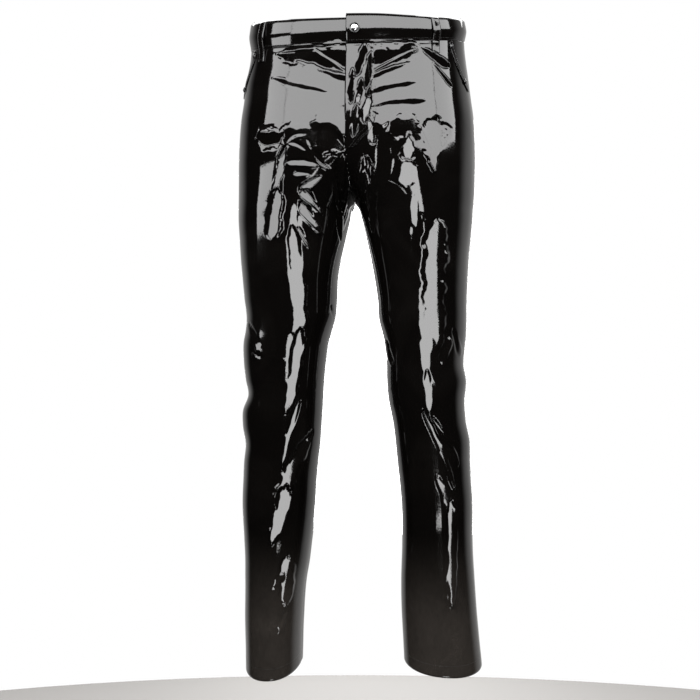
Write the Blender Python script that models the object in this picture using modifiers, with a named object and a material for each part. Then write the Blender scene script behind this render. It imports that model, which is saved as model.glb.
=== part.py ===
# Latex trousers in a jeans cut, worn and hollow, held at the waist.
# Metres, +Z up. The front faces -Y and the wearer's left leg is at +X.
# The origin is the middle of the waist, at the height of the waistband.
import math
from collections import namedtuple

import bpy
import numpy as np
from mathutils import Vector

# Driving sizes
WALL = 0.0015                # thickness of the cloth panels
BAND_WALL = 0.0026           # the waistband is folded double over a stiffener
TRIM_WALL = 0.0012           # fly placket and pocket edges
LOOP_WALL = 0.0016
GAP = 0.0003                 # left free at every seam
TURN = math.radians(8)       # the outline below is seen from this far round to +X

BAND_TOP = 0.0180
BAND_FOOT = -0.0230          # waist seam
BAND_PROUD = 0.0012          # how far the band stands out from the panels
BAND_TOP_LEAN = 0.0035       # how far its upper and lower edges lean in
BAND_FOOT_LEAN = 0.0012
HEM = -1.0210
CROTCH = -0.2770
RISE_CURVE = 0.1500          # height over which the centre seams curve under
CROTCH_BLEND = 0.0600        # depth below the crotch over which torso and legs merge
FAN_FOOT = 0.0900            # depth below the crotch where the columns are even again
FAN_POWER = 6

WAIST_DIP = 0.0110           # the waist sinks at centre front
WAIST_LIFT = 0.0140          # and rises at centre back
WAIST_SLANT = 0.030          # and its seam climbs towards the wearer's left
WAIST_FADE = 0.1500
HEM_DROP = {1: 0.0180, -1: 0.0230}         # the hem hangs lower in front than at the sides
HEM_LIFT = 0.0100                          # and higher behind
HEM_INNER_LIFT = {1: 0.0150, -1: 0.0020}
HEM_FADE = 0.1200

HALF_GIRTH = 0.2900          # side seam to centre at the waist, for shares of its length
LAP = 0.0380                 # how far one band end lies under the other
LAP_LIFT = 0.0032            # the upper end stands out over the lower one
LAP_RISE = 0.0060            # and up past it
LAP_LIFT_FROM = 0.66         # shares of the half girth at which it starts to do so
LAP_RISE_FROM = 0.40
PLACKET_WIDTH = 0.0360
PLACKET_FOOT = -0.1990
PLACKET_END_WIDTH = 0.0070
PLACKET_STRAIGHT = 0.60      # share of its length before it curves in
PLACKET_COLUMN_FADE = 0.0700 # height below it over which its column runs back out
POCKET_WIDTH = 0.0100
TRIM_OUT = TRIM_WALL + 1.5 * GAP           # outer face of the pocket mouths, off the panel
LOOP_WIDTH = 0.0130
LOOP_TOP = 0.0165
LOOP_FOOT = -0.0440
LOOP_CLEARANCE = 0.0024
BUTTON_RADIUS = 0.0085
BUTTON_HEIGHT = 0.0042
RIVET_RADIUS = 0.0045
RIVET_HEIGHT = 0.0022

# Facets
SEAM_COLUMN = 0.012          # share of a panel's width in the narrow column along a seam
PANEL_COLUMNS = 9            # between the seam column and the line of the placket's edge
TORSO_ROWS = 6
CURVE_ROWS = 8
LEG_ROWS = 34
BAND_COLUMNS = 22
BAND_ROWS = 4
LOOP_ROWS = 7
SEAM_EDGE_COLUMNS = 1        # columns before the even ones
BUTTON_SIDES = 20
RIVET_SIDES = 12

# Sections down each side. z is the height, outer the side seam and inner the inseam as seen
# from TURN, front and back the depth, square how boxy the section is (2 is an ellipse).
# Above the crotch both legs share one section round the middle, so inner is 0.
Section = namedtuple("Section", "z outer inner front back square")
LEFT_SIDE = [
    Section(0.030, 0.1660, 0.0, -0.1080, 0.1120, 2.30),
    Section(0.000, 0.1720, 0.0, -0.1100, 0.1160, 2.30),
    Section(-0.039, 0.1745, 0.0, -0.1140, 0.1240, 2.35),
    Section(-0.076, 0.1795, 0.0, -0.1180, 0.1320, 2.40),
    Section(-0.109, 0.1840, 0.0, -0.1210, 0.1380, 2.40),
    Section(-0.141, 0.1885, 0.0, -0.1225, 0.1400, 2.40),
    Section(-0.173, 0.1905, 0.0, -0.1220, 0.1380, 2.35),
    Section(-0.206, 0.1910, 0.0, -0.1190, 0.1330, 2.30),
    Section(-0.240, 0.1905, 0.0, -0.1140, 0.1240, 2.20),
    Section(-0.277, 0.1890, 0.0, -0.1080, 0.1140, 2.15),
    Section(-0.288, 0.1880, 0.0060, -0.1065, 0.1110, 2.15),
    Section(-0.303, 0.1875, 0.0100, -0.1050, 0.1075, 2.15),
    Section(-0.335, 0.1850, 0.0170, -0.1030, 0.1010, 2.15),
    Section(-0.368, 0.1820, 0.0240, -0.1000, 0.0950, 2.15),
    Section(-0.400, 0.1800, 0.0300, -0.0970, 0.0890, 2.15),
    Section(-0.432, 0.1785, 0.0345, -0.0940, 0.0840, 2.15),
    Section(-0.465, 0.1780, 0.0370, -0.0905, 0.0790, 2.15),
    Section(-0.489, 0.1775, 0.0430, -0.0880, 0.0750, 2.15),
    Section(-0.514, 0.1750, 0.0475, -0.0860, 0.0720, 2.15),
    Section(-0.538, 0.1735, 0.0490, -0.0835, 0.0700, 2.15),
    Section(-0.562, 0.1775, 0.0495, -0.0815, 0.0690, 2.15),
    Section(-0.594, 0.1750, 0.0525, -0.0780, 0.0690, 2.15),
    Section(-0.627, 0.1770, 0.0590, -0.0735, 0.0715, 2.15),
    Section(-0.659, 0.1835, 0.0630, -0.0690, 0.0745, 2.15),
    Section(-0.692, 0.1845, 0.0665, -0.0650, 0.0770, 2.15),
    Section(-0.724, 0.1860, 0.0700, -0.0620, 0.0785, 2.15),
    Section(-0.757, 0.1880, 0.0730, -0.0595, 0.0785, 2.15),
    Section(-0.821, 0.1885, 0.0745, -0.0570, 0.0760, 2.15),
    Section(-0.886, 0.1915, 0.0730, -0.0560, 0.0730, 2.15),
    Section(-0.951, 0.1960, 0.0745, -0.0560, 0.0710, 2.15),
    Section(-0.983, 0.1990, 0.0760, -0.0565, 0.0700, 2.15),
    Section(-1.016, 0.2025, 0.0775, -0.0570, 0.0690, 2.15),
    Section(-1.048, 0.2050, 0.0785, -0.0575, 0.0685, 2.15),
]
RIGHT_SIDE = [
    Section(0.030, 0.1620, 0.0, -0.1080, 0.1120, 2.30),
    Section(0.000, 0.1675, 0.0, -0.1100, 0.1160, 2.30),
    Section(-0.039, 0.1710, 0.0, -0.1140, 0.1240, 2.35),
    Section(-0.076, 0.1780, 0.0, -0.1180, 0.1320, 2.40),
    Section(-0.109, 0.1815, 0.0, -0.1210, 0.1380, 2.40),
    Section(-0.141, 0.1860, 0.0, -0.1225, 0.1400, 2.40),
    Section(-0.173, 0.1885, 0.0, -0.1220, 0.1380, 2.35),
    Section(-0.206, 0.1895, 0.0, -0.1190, 0.1330, 2.30),
    Section(-0.240, 0.1895, 0.0, -0.1140, 0.1240, 2.20),
    Section(-0.277, 0.1895, 0.0, -0.1080, 0.1140, 2.15),
    Section(-0.288, 0.1895, 0.0060, -0.1065, 0.1110, 2.15),
    Section(-0.303, 0.1895, 0.0085, -0.1050, 0.1075, 2.15),
    Section(-0.335, 0.1880, 0.0150, -0.1030, 0.1010, 2.15),
    Section(-0.368, 0.1860, 0.0225, -0.1000, 0.0950, 2.15),
    Section(-0.400, 0.1830, 0.0275, -0.0970, 0.0890, 2.15),
    Section(-0.432, 0.1800, 0.0290, -0.0940, 0.0845, 2.15),
    Section(-0.465, 0.1765, 0.0325, -0.0910, 0.0800, 2.15),
    Section(-0.481, 0.1780, 0.0370, -0.0895, 0.0780, 2.15),
    Section(-0.500, 0.1815, 0.0425, -0.0880, 0.0760, 2.15),
    Section(-0.530, 0.1815, 0.0470, -0.0855, 0.0730, 2.15),
    Section(-0.562, 0.1780, 0.0500, -0.0830, 0.0710, 2.15),
    Section(-0.586, 0.1740, 0.0515, -0.0805, 0.0700, 2.15),
    Section(-0.611, 0.1830, 0.0530, -0.0775, 0.0710, 2.15),
    Section(-0.635, 0.1835, 0.0545, -0.0745, 0.0730, 2.15),
    Section(-0.667, 0.1790, 0.0570, -0.0705, 0.0760, 2.15),
    Section(-0.692, 0.1815, 0.0600, -0.0680, 0.0785, 2.15),
    Section(-0.724, 0.1830, 0.0630, -0.0655, 0.0810, 2.15),
    Section(-0.757, 0.1845, 0.0650, -0.0635, 0.0825, 2.15),
    Section(-0.821, 0.1815, 0.0710, -0.0625, 0.0830, 2.15),
    Section(-0.854, 0.1800, 0.0750, -0.0625, 0.0835, 2.15),
    Section(-0.886, 0.1800, 0.0805, -0.0630, 0.0840, 2.15),
    Section(-0.951, 0.1800, 0.0850, -0.0640, 0.0840, 2.15),
    Section(-1.016, 0.1785, 0.0870, -0.0650, 0.0840, 2.15),
    Section(-1.048, 0.1780, 0.0880, -0.0655, 0.0840, 2.15),
]
SECTIONS = {1: LEFT_SIDE, -1: RIGHT_SIDE}

# The largest folds, as ridges (height above 0) and troughs (below 0) in millimetres. x is
# across and z down as seen from TURN in front, or straight on from behind; bow is how far
# the middle of the fold stands off the straight line between its ends.
Fold = namedtuple("Fold", "x_start z_start x_end z_end bow width height")
FRONT_FOLDS = [
    # drag lines from the fly to the hips
    Fold(-93, -51, -17, -95, 3, 8, 4.0),
    Fold(-57, -42, -17, -84, 2, 7, 3.0),
    Fold(-127, -83, -46, -108, 4, 10, -4.0),
    Fold(27, -76, 85, -42, 3, 8, 4.0),
    Fold(27, -92, 100, -60, 3, 8, 3.0),
    Fold(27, -128, 100, -122, 4, 10, -4.0),
    # folds at the top of the thighs
    Fold(-72, -176, -134, -275, -16, 11, 6.5),
    Fold(-112, -198, -66, -196, 3, 10, -5.0),
    Fold(-108, -237, -60, -243, -3, 10, -5.0),
    Fold(-40, -225, -58, -340, 8, 11, 5.0),
    Fold(-14, -215, -30, -290, 4, 10, 4.0),
    Fold(28, -170, 30, -320, -5, 10, 5.0),
    Fold(62, -168, 88, -265, -6, 11, 5.5),
    Fold(47, -246, 82, -280, 4, 11, -5.0),
    Fold(118, -190, 122, -290, 5, 14, 4.0),
    # down the front of the thighs
    Fold(-86, -330, -104, -485, 5, 19, 5.0),
    Fold(-100, -500, -116, -600, -6, 14, 5.5),
    Fold(112, -310, 122, -500, -5, 19, 5.0),
    Fold(104, -540, 130, -610, 6, 13, 5.0),
    # knees
    Fold(-180, -505, -120, -545, -5, 12, 5.0),
    Fold(-178, -584, -108, -566, 4, 11, -5.0),
    Fold(-180, -622, -118, -600, 5, 12, 5.5),
    Fold(-120, -520, -58, -500, 4, 14, 4.0),
    Fold(176, -545, 122, -572, 4, 12, 5.0),
    Fold(50, -492, 96, -512, -4, 12, -5.0),
    # calves
    Fold(-72, -604, -136, -745, -6, 13, 5.5),
    Fold(-60, -640, -120, -790, -8, 14, 4.0),
    Fold(104, -598, 158, -700, 6, 12, 5.5),
    Fold(98, -630, 154, -750, 8, 13, 5.0),
    Fold(148, -770, 150, -920, -3, 16, 3.0),
    Fold(-112, -850, -122, -960, 4, 16, 3.0),
]
BACK_FOLDS = [
    # under the seat
    Fold(-20, -262, -120, -318, 8, 13, 5.5),
    Fold(20, -266, 124, -322, -8, 13, 5.5),
    Fold(-30, -300, -140, -372, 9, 14, -5.0),
    Fold(28, -296, 138, -366, -9, 14, -5.0),
    Fold(-60, -120, -150, -190, 8, 17, 4.0),
    Fold(56, -116, 148, -182, -8, 17, 4.0),
    # behind the knees
    Fold(-170, -480, -60, -505, -6, 12, 5.5),
    Fold(-174, -528, -64, -520, 7, 12, -5.5),
    Fold(-168, -560, -58, -585, -6, 13, 6.5),
    Fold(-172, -618, -70, -604, 6, 13, -5.0),
    Fold(172, -474, 52, -498, 6, 12, 5.5),
    Fold(176, -522, 60, -516, -7, 12, -5.5),
    Fold(170, -556, 58, -580, 6, 13, 6.5),
    Fold(176, -612, 66, -598, -6, 13, -5.0),
    # calves
    Fold(-96, -650, -160, -770, 8, 16, 5.0),
    Fold(98, -646, 166, -764, -8, 16, 5.0),
    Fold(-120, -830, -140, -960, 6, 17, 4.0),
    Fold(150, -826, 142, -955, -6, 17, 4.0),
]
MM = 0.001
FOLD_STEPS = 8               # straight pieces that stand for a bowed fold
FOLD_END_POWER = 0.6         # how bluntly a fold fades out at its ends
NORMAL_STEP = 0.004          # steps along the cloth that find its outward direction

# Belt loops stand at these shares of a half section: 0 is the side seam, 1 the centre.
Loop = namedtuple("Loop", "name side face share")
LOOPS = [
    Loop("belt_loop_1", -1, "front", 0.42),
    Loop("belt_loop_2", 1, "front", 0.46),
    Loop("belt_loop_3", -1, "back", 0.44),
    Loop("belt_loop_4", 1, "back", 0.44),
    Loop("belt_loop_5", 1, "back", 1.0),
]
# A pocket mouth runs from the waist seam to the side through these shares and heights.
PocketStep = namedtuple("PocketStep", "share height")
POCKET_PATH = [
    PocketStep(0.285, -0.0245),
    PocketStep(0.262, -0.0400),
    PocketStep(0.232, -0.0550),
    PocketStep(0.192, -0.0700),
    PocketStep(0.140, -0.0840),
    PocketStep(0.070, -0.0940),
]
Rivet = namedtuple("Rivet", "name side share height")
RIVETS = [
    Rivet("rivet_1", -1, 0.296, -0.0330),
    Rivet("rivet_2", 1, 0.296, -0.0330),
    Rivet("rivet_3", -1, 0.150, -0.0880),
    Rivet("rivet_4", 1, 0.150, -0.0880),
]
BUTTON_SHARE = 0.965
BUTTON_LEVEL = 0.50          # share of the band's height

LATEX = ((0.004, 0.004, 0.004, 1.0), 0.08, 0.0)
STEEL = ((0.55, 0.55, 0.56, 1.0), 0.18, 1.0)


def smooth_step(value, low, high):
    part = np.clip((value - low) / (high - low), 0.0, 1.0)
    return part * part * (3.0 - 2.0 * part)


def column(side, name, heights):
    """Smooth curve through one column of a side's sections, read at the given heights."""
    table = SECTIONS[side][::-1]
    zs = np.array([row.z for row in table])
    values = np.array([getattr(row, name) for row in table])
    slopes = np.gradient(values, zs)
    index = np.clip(np.searchsorted(zs, heights) - 1, 0, len(zs) - 2)
    span = zs[index + 1] - zs[index]
    part = np.clip((heights - zs[index]) / span, 0.0, 1.0)
    square = part * part
    cube = square * part
    return ((2 * cube - 3 * square + 1) * values[index]
            + (cube - 2 * square + part) * span * slopes[index]
            + (3 * square - 2 * cube) * values[index + 1]
            + (cube - square) * span * slopes[index + 1])


def leg_edges(side, height):
    """Inseam and side seam of one leg, with the seen outline turned onto the garment's axes."""
    outer_seen = column(side, "outer", height)
    inner_seen = np.where(height < CROTCH, column(side, "inner", height), 0.0)
    front = column(side, "front", height)
    back = column(side, "back", height)
    slant = (back - front) / 2 * math.sin(TURN)
    half = np.sqrt(((outer_seen - inner_seen) / 2) ** 2 - slant ** 2) / math.cos(TURN)
    middle = (outer_seen + inner_seen) / 2 / math.cos(TURN)
    middle = middle - side * (front + back) / 2 * math.tan(TURN)
    torso = np.sqrt(outer_seen ** 2 - slant ** 2) / math.cos(TURN)
    fade = smooth_step(height, CROTCH - CROTCH_BLEND, CROTCH)
    return middle - half, (middle + half) * (1 - fade) + torso * fade


def section_point(side, face, share, height):
    """Point and level outward normal at a share of the half section, before the folds."""
    front = column(side, "front", height)
    back = column(side, "back", height)
    power = column(side, "square", height)
    seam_y = (front + back) / 2
    depth = (back - front) / 2
    inner, outer = leg_edges(side, height)
    at_crotch, _ = leg_edges(side, np.array(CROTCH - 1e-7))
    inner = inner - at_crotch * smooth_step(height, CROTCH - CROTCH_BLEND, CROTCH)
    # above the crotch the centre seam runs down the middle and then curves under
    rise = np.clip((height - CROTCH) / RISE_CURVE, 0.0, 1.0)
    under = (1.0 - rise) ** 2 * (1.0 + rise)
    below = height < CROTCH
    axis = np.where(below, (outer + inner) / 2, under * outer / (1.0 + under))
    half = outer - axis
    reach = np.clip(axis / half, 0.0, 1.0)
    end_angle = np.where(below, math.pi, np.arccos(-reach ** (power / 2)))
    # the columns fan out slowly, and only those by the centre seam follow its curve
    fan = smooth_step(-height, -CROTCH - RISE_CURVE, FAN_FOOT - CROTCH)
    spread = math.pi / 2 * (1.0 + fan)
    angle = share * spread + (end_angle - spread) * share ** FAN_POWER
    cos = np.cos(angle)
    sin = np.maximum(np.sin(angle), 0.0)
    forward = -1.0 if face == "front" else 1.0
    x = axis + half * np.sign(cos) * np.abs(cos) ** (2 / power)
    y = seam_y + forward * depth * sin ** (2 / power)
    normal_x = np.sign(cos) * np.abs(cos) ** (2 - 2 / power) / half
    normal_y = forward * sin ** (2 - 2 / power) / depth
    # at the centre seam above the crotch both sides move alike, so nothing points sideways
    centre = smooth_step(share, 0.80, 1.0) * smooth_step(height, CROTCH - 0.01, CROTCH)
    normal_x = normal_x * (1 - centre)
    length = np.maximum(np.sqrt(normal_x ** 2 + normal_y ** 2), 1e-9)
    return side * x, y, side * normal_x / length, normal_y / length


def waist_level(face, across):
    """How far the waist rises or sinks round the body; across is 1 at the centre seams."""
    return -across * WAIST_DIP if face == "front" else across * WAIST_LIFT


def level_shift(side, face, share, height, x):
    """How far the waist and hem lines rise or sink round the garment."""
    across = np.sin(share * np.where(height < CROTCH, math.pi, math.pi / 2))
    inner = (1 - np.cos(share * math.pi)) / 2
    waist = smooth_step(height, BAND_FOOT - WAIST_FADE, BAND_FOOT)
    hem = 1 - smooth_step(height, HEM, HEM + HEM_FADE)
    shift = waist * (waist_level(face, across) + WAIST_SLANT * x)
    tilt = -across * HEM_DROP[side] if face == "front" else across * HEM_LIFT
    return shift + hem * (inner * HEM_INNER_LIFT[side] + tilt)


def fold_height(folds, seen_x, seen_z):
    """Sum of the ridges and troughs at points seen straight on."""
    total = np.zeros_like(seen_x)
    for fold in folds:
        start = np.array([fold.x_start, fold.z_start]) * MM
        run = np.array([fold.x_end, fold.z_end]) * MM - start
        aside = np.array([-run[1], run[0]]) / np.hypot(*run) * fold.bow * MM
        nearest = np.full_like(seen_x, 1.0)
        along = np.zeros_like(seen_x)
        for step in range(FOLD_STEPS):
            first, last = step / FOLD_STEPS, (step + 1) / FOLD_STEPS
            a = start + run * first + aside * math.sin(math.pi * first)
            b = start + run * last + aside * math.sin(math.pi * last)
            way = b - a
            part = ((seen_x - a[0]) * way[0] + (seen_z - a[1]) * way[1]) / (way @ way)
            part = np.clip(part, 0.0, 1.0)
            away = np.hypot(seen_x - a[0] - part * way[0], seen_z - a[1] - part * way[1])
            closer = away < nearest
            nearest = np.where(closer, away, nearest)
            along = np.where(closer, first + part * (last - first), along)
        ends = np.sin(math.pi * along) ** FOLD_END_POWER
        total += fold.height * MM * ends * np.exp(-(nearest / (fold.width * MM)) ** 2)
    return total


def cloth_point(side, face, share, height, out=0.0):
    """A point on the outer face of the cloth, moved out by a given amount."""
    share, height = np.broadcast_arrays(np.asarray(share, float), np.asarray(height, float))
    x, y, normal_x, normal_y = section_point(side, face, share, height)
    z = height + level_shift(side, face, share, height, x)
    if face == "front":
        seen = x * math.cos(TURN) + y * math.sin(TURN)
        folds = fold_height(FRONT_FOLDS, seen, z)
    else:
        folds = fold_height(BACK_FOLDS, x, z)
    move = folds * smooth_step(np.abs(normal_y), 0.05, 0.45) + out
    return np.stack([x + normal_x * move, y + normal_y * move, z], axis=-1)


def girth_point(side, girth, height, out, z=None):
    """A point by its place round the waist: -1 centre back, 0 side seam, 1 centre front."""
    if girth > 1:
        side, girth = -side, 2 - girth
    if girth < -1:
        side, girth = -side, -2 - girth
    face = "front" if girth > 0 else "back"
    point = cloth_point(side, face, abs(girth), height, out)
    if z is not None:
        point[..., 2] = z
    return point


def new_object(name, mesh, look, collection):
    colour, roughness, metallic = look
    material = bpy.data.materials.new(name)
    material.use_nodes = True
    shader = material.node_tree.nodes["Principled BSDF"]
    shader.inputs["Base Color"].default_value = colour
    shader.inputs["Roughness"].default_value = roughness
    shader.inputs["Metallic"].default_value = metallic
    mesh.materials.append(material)
    piece = bpy.data.objects.new(name, mesh)
    collection.objects.link(piece)
    return piece


def sheet(name, points, wall, look, collection, outward_first):
    """An open grid of points given its thickness inwards. points has rows and columns."""
    rows, columns, _ = points.shape
    corners = [tuple(point) for point in points.reshape(-1, 3)]
    faces = []
    for row in range(rows - 1):
        for column_at in range(columns - 1):
            first = row * columns + column_at
            loop = (first, first + 1, first + columns + 1, first + columns)
            faces.append(loop if outward_first else loop[::-1])
    mesh = bpy.data.meshes.new(name)
    mesh.from_pydata(corners, [], faces)
    mesh.shade_smooth()
    piece = new_object(name, mesh, look, collection)
    solid = piece.modifiers.new("wall", "SOLIDIFY")
    solid.thickness = wall
    solid.offset = -1
    return piece


def turned(name, profile, sides, place, normal, look, collection):
    """A small fastener turned about its axis, its foot at place and its axis along normal."""
    mesh = bpy.data.meshes.new(name)
    edges = [(index, index + 1) for index in range(len(profile) - 1)]
    mesh.from_pydata([(radius, 0.0, height) for radius, height in profile], edges, [])
    piece = new_object(name, mesh, look, collection)
    screw = piece.modifiers.new("turn", "SCREW")
    screw.steps = sides
    screw.render_steps = sides
    screw.use_merge_vertices = True
    screw.merge_threshold = 0.00005
    piece.location = place
    piece.rotation_euler = Vector(normal).to_track_quat("Z", "Y").to_euler()
    return piece


def placket_share(height):
    """Width of the placket at a height, as a share of the half section."""
    top, foot = BAND_FOOT, PLACKET_FOOT
    along = np.clip((top - height) / (top - foot), 0.0, 1.0)
    curve = np.clip((along - PLACKET_STRAIGHT) / (1 - PLACKET_STRAIGHT), 0.0, 1.0)
    width = PLACKET_END_WIDTH + (PLACKET_WIDTH - PLACKET_END_WIDTH) * np.sqrt(1 - curve ** 2)
    back_out = smooth_step(-height, -foot, PLACKET_COLUMN_FADE - foot)
    width = width + (PLACKET_WIDTH - PLACKET_END_WIDTH) * back_out
    return width / HALF_GIRTH


def panel_heights():
    torso = np.linspace(BAND_FOOT - GAP, CROTCH + RISE_CURVE, TORSO_ROWS + 1)[:-1]
    steps = np.linspace(1.0, 0.0, CURVE_ROWS + 1)
    curve = CROTCH + RISE_CURVE * steps ** 2
    leg = np.linspace(CROTCH, HEM, LEG_ROWS + 1)[1:]
    heights = np.concatenate([torso, curve, leg])
    # a row lies on the placket's foot, so that it can end there
    nearest = np.argmin(np.abs(heights - PLACKET_FOOT))
    heights[nearest] = PLACKET_FOOT
    return heights, nearest


def panel_shares(height):
    """Shares of the columns at one height, with a narrow column along each seam."""
    placket = placket_share(height)
    even = np.linspace(0.0, 1.0 - placket, PANEL_COLUMNS + 1)[1:]
    return np.concatenate([[0.0, SEAM_COLUMN], even, [1 - placket / 2, 1 - SEAM_COLUMN, 1.0]])


def panel_points(side, face, out=0.0):
    heights, placket_row = panel_heights()
    shares = np.array([panel_shares(height) for height in heights])
    grid = np.broadcast_to(heights[:, None], shares.shape)
    points = cloth_point(side, face, shares, grid, out)
    forward = -1.0 if face == "front" else 1.0
    points[:, 0, 1] += forward * GAP / 2
    inseam = heights <= CROTCH + 1e-9
    points[inseam, -1, 1] += forward * GAP / 2
    points[..., 0] = side * np.maximum(side * points[..., 0], GAP / 2)
    return points, placket_row


def make_panels(collection):
    for side, hand in ((1, "left"), (-1, "right")):
        for face in ("front", "back"):
            points, _ = panel_points(side, face)
            outward = (side > 0) == (face == "front")
            sheet(f"{face}_{hand}", points, WALL, LATEX, collection, outward)


def make_placket(collection):
    points, foot_row = panel_points(1, "front", GAP + TRIM_WALL)
    edge = SEAM_EDGE_COLUMNS + PANEL_COLUMNS
    piece = points[:foot_row + 1, edge:]
    sheet("fly_placket", piece, TRIM_WALL, LATEX, collection, True)


def band_out(level):
    """How far the band's outer face stands out at a share of its height."""
    lean = np.where(level > 0.5, BAND_TOP_LEAN, BAND_FOOT_LEAN)
    return BAND_PROUD - lean * np.abs(2 * level - 1) ** 3


def band_point(side, girth, level, out=0.0):
    """A point on the band's outer face, level 0 at the waist seam and 1 at the top edge."""
    foot = girth_point(side, girth, BAND_FOOT, 0.0)
    across = math.sin(min(abs(girth), 1.0) * math.pi / 2)
    if girth > 1:
        across = math.sin((2 - girth) * math.pi / 2)
    top = BAND_TOP + waist_level("front" if girth > 0 else "back", across)
    if side > 0 and girth > 0:
        top += LAP_RISE * float(smooth_step(girth, LAP_RISE_FROM, 1.0))
    z = foot[2] + (top - foot[2]) * level
    height = BAND_FOOT + (BAND_TOP - BAND_FOOT) * level
    return girth_point(side, girth, height, float(band_out(level)) + out, z)


def make_bands(collection):
    levels = np.linspace(0.0, 1.0, BAND_ROWS + 1)
    lap = LAP / HALF_GIRTH
    for side, hand in ((1, "left"), (-1, "right")):
        girths = list(np.linspace(-1.0, 1.0, BAND_COLUMNS + 1))
        if side < 0:
            girths += [1.0 + lap / 2, 1.0 + lap]
        rows = []
        for level in levels:
            row = []
            for girth in girths:
                raised = float(smooth_step(girth, LAP_LIFT_FROM, 1.0 - lap)) * (side > 0)
                point = band_point(side, girth, level, LAP_LIFT * raised)
                if girth == -1.0:
                    point[0] = side * GAP / 2
                row.append(point)
            rows.append(row)
        sheet(f"waistband_{hand}", np.array(rows), BAND_WALL, LATEX, collection, side < 0)


def make_loops(collection):
    steps = np.linspace(0.0, 1.0, LOOP_ROWS + 1)
    for loop in LOOPS:
        middle = loop.share if loop.face == "front" else -loop.share
        ends = [band_point(loop.side, middle + way * SEAM_COLUMN, 0.5) for way in (-1, 1)]
        half_width = LOOP_WIDTH * SEAM_COLUMN / np.linalg.norm(ends[1] - ends[0])
        rows = []
        for step in steps:
            z = LOOP_TOP + (LOOP_FOOT - LOOP_TOP) * step
            level = (z - BAND_FOOT) / (BAND_TOP - BAND_FOOT)
            bulge = LOOP_CLEARANCE * math.sin(math.pi * step) ** 2
            out = GAP + LOOP_WALL + bulge
            row = []
            for across in (-1, 0, 1):
                girth = middle + across * half_width
                if level > 0:
                    row.append(band_point(loop.side, girth, level, out))
                else:
                    row.append(girth_point(loop.side, girth, z, out))
            rows.append(row)
        sheet(loop.name, np.array(rows), LOOP_WALL, LATEX, collection, loop.side > 0)


def make_pocket_mouths(collection):
    count = len(POCKET_PATH)
    for side, hand in ((1, "left"), (-1, "right")):
        rows = []
        for index, step in enumerate(POCKET_PATH):
            before = POCKET_PATH[max(index - 1, 0)]
            after = POCKET_PATH[min(index + 1, count - 1)]
            run = np.array([(after.share - before.share) * HALF_GIRTH,
                            after.height - before.height])
            aside = np.array([-run[1], run[0]]) / np.hypot(*run) * POCKET_WIDTH
            row = []
            for part in (0.0, 0.5, 1.0):
                share = step.share + aside[0] * part / HALF_GIRTH
                height = min(step.height + aside[1] * part, BAND_FOOT - 2 * GAP)
                row.append(cloth_point(side, "front", share, height, TRIM_OUT))
            rows.append(row)
        sheet(f"pocket_mouth_{hand}", np.array(rows), TRIM_WALL, LATEX, collection, side > 0)


def surface_frame(point_at):
    """Place and outward direction of a surface given as a function of two small steps."""
    step = NORMAL_STEP
    place = point_at(0.0, 0.0)
    across = point_at(step, 0.0) - point_at(-step, 0.0)
    up = point_at(0.0, step) - point_at(0.0, -step)
    normal = np.cross(across, up)
    normal = normal / np.linalg.norm(normal)
    if normal[1] > 0:
        normal = -normal
    return place, normal


def make_button(collection):
    def at(across, up):
        return band_point(1, BUTTON_SHARE + across, BUTTON_LEVEL + up, LAP_LIFT)

    place, normal = surface_frame(at)
    profile = [
        (0.0, BUTTON_HEIGHT),
        (0.55 * BUTTON_RADIUS, 0.95 * BUTTON_HEIGHT),
        (0.90 * BUTTON_RADIUS, 0.75 * BUTTON_HEIGHT),
        (BUTTON_RADIUS, 0.50 * BUTTON_HEIGHT),
        (0.92 * BUTTON_RADIUS, 0.30 * BUTTON_HEIGHT),
        (0.40 * BUTTON_RADIUS, 0.25 * BUTTON_HEIGHT),
        (0.40 * BUTTON_RADIUS, 0.0),
        (0.0, 0.0),
    ]
    turned("waist_button", profile, BUTTON_SIDES, place + normal * GAP, normal, STEEL, collection)


def make_rivets(collection):
    profile = [
        (0.0, RIVET_HEIGHT),
        (0.5 * RIVET_RADIUS, 0.9 * RIVET_HEIGHT),
        (0.9 * RIVET_RADIUS, 0.5 * RIVET_HEIGHT),
        (RIVET_RADIUS, 0.0),
        (0.0, 0.0),
    ]
    for rivet in RIVETS:
        def at(across, up, rivet=rivet):
            height = rivet.height + up
            return cloth_point(rivet.side, "front", rivet.share + across, height, TRIM_OUT)

        place, normal = surface_frame(at)
        turned(rivet.name, profile, RIVET_SIDES, place + normal * GAP, normal, STEEL, collection)


def main():
    for old in list(bpy.data.objects):
        bpy.data.objects.remove(old)
    collection = bpy.data.collections.new("latex_trousers")
    bpy.context.scene.collection.children.link(collection)
    make_panels(collection)
    make_bands(collection)
    make_placket(collection)
    make_pocket_mouths(collection)
    make_loops(collection)
    make_button(collection)
    make_rivets(collection)


main()
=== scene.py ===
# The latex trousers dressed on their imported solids: cloth, creases, sewing, button and rivets.
# Metres, +Z up, front at -Y, the wearer's left leg at +X, the waist at the origin.
import math
from collections import namedtuple

import bpy
import numpy as np
from mathutils import Matrix, Vector, noise


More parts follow.
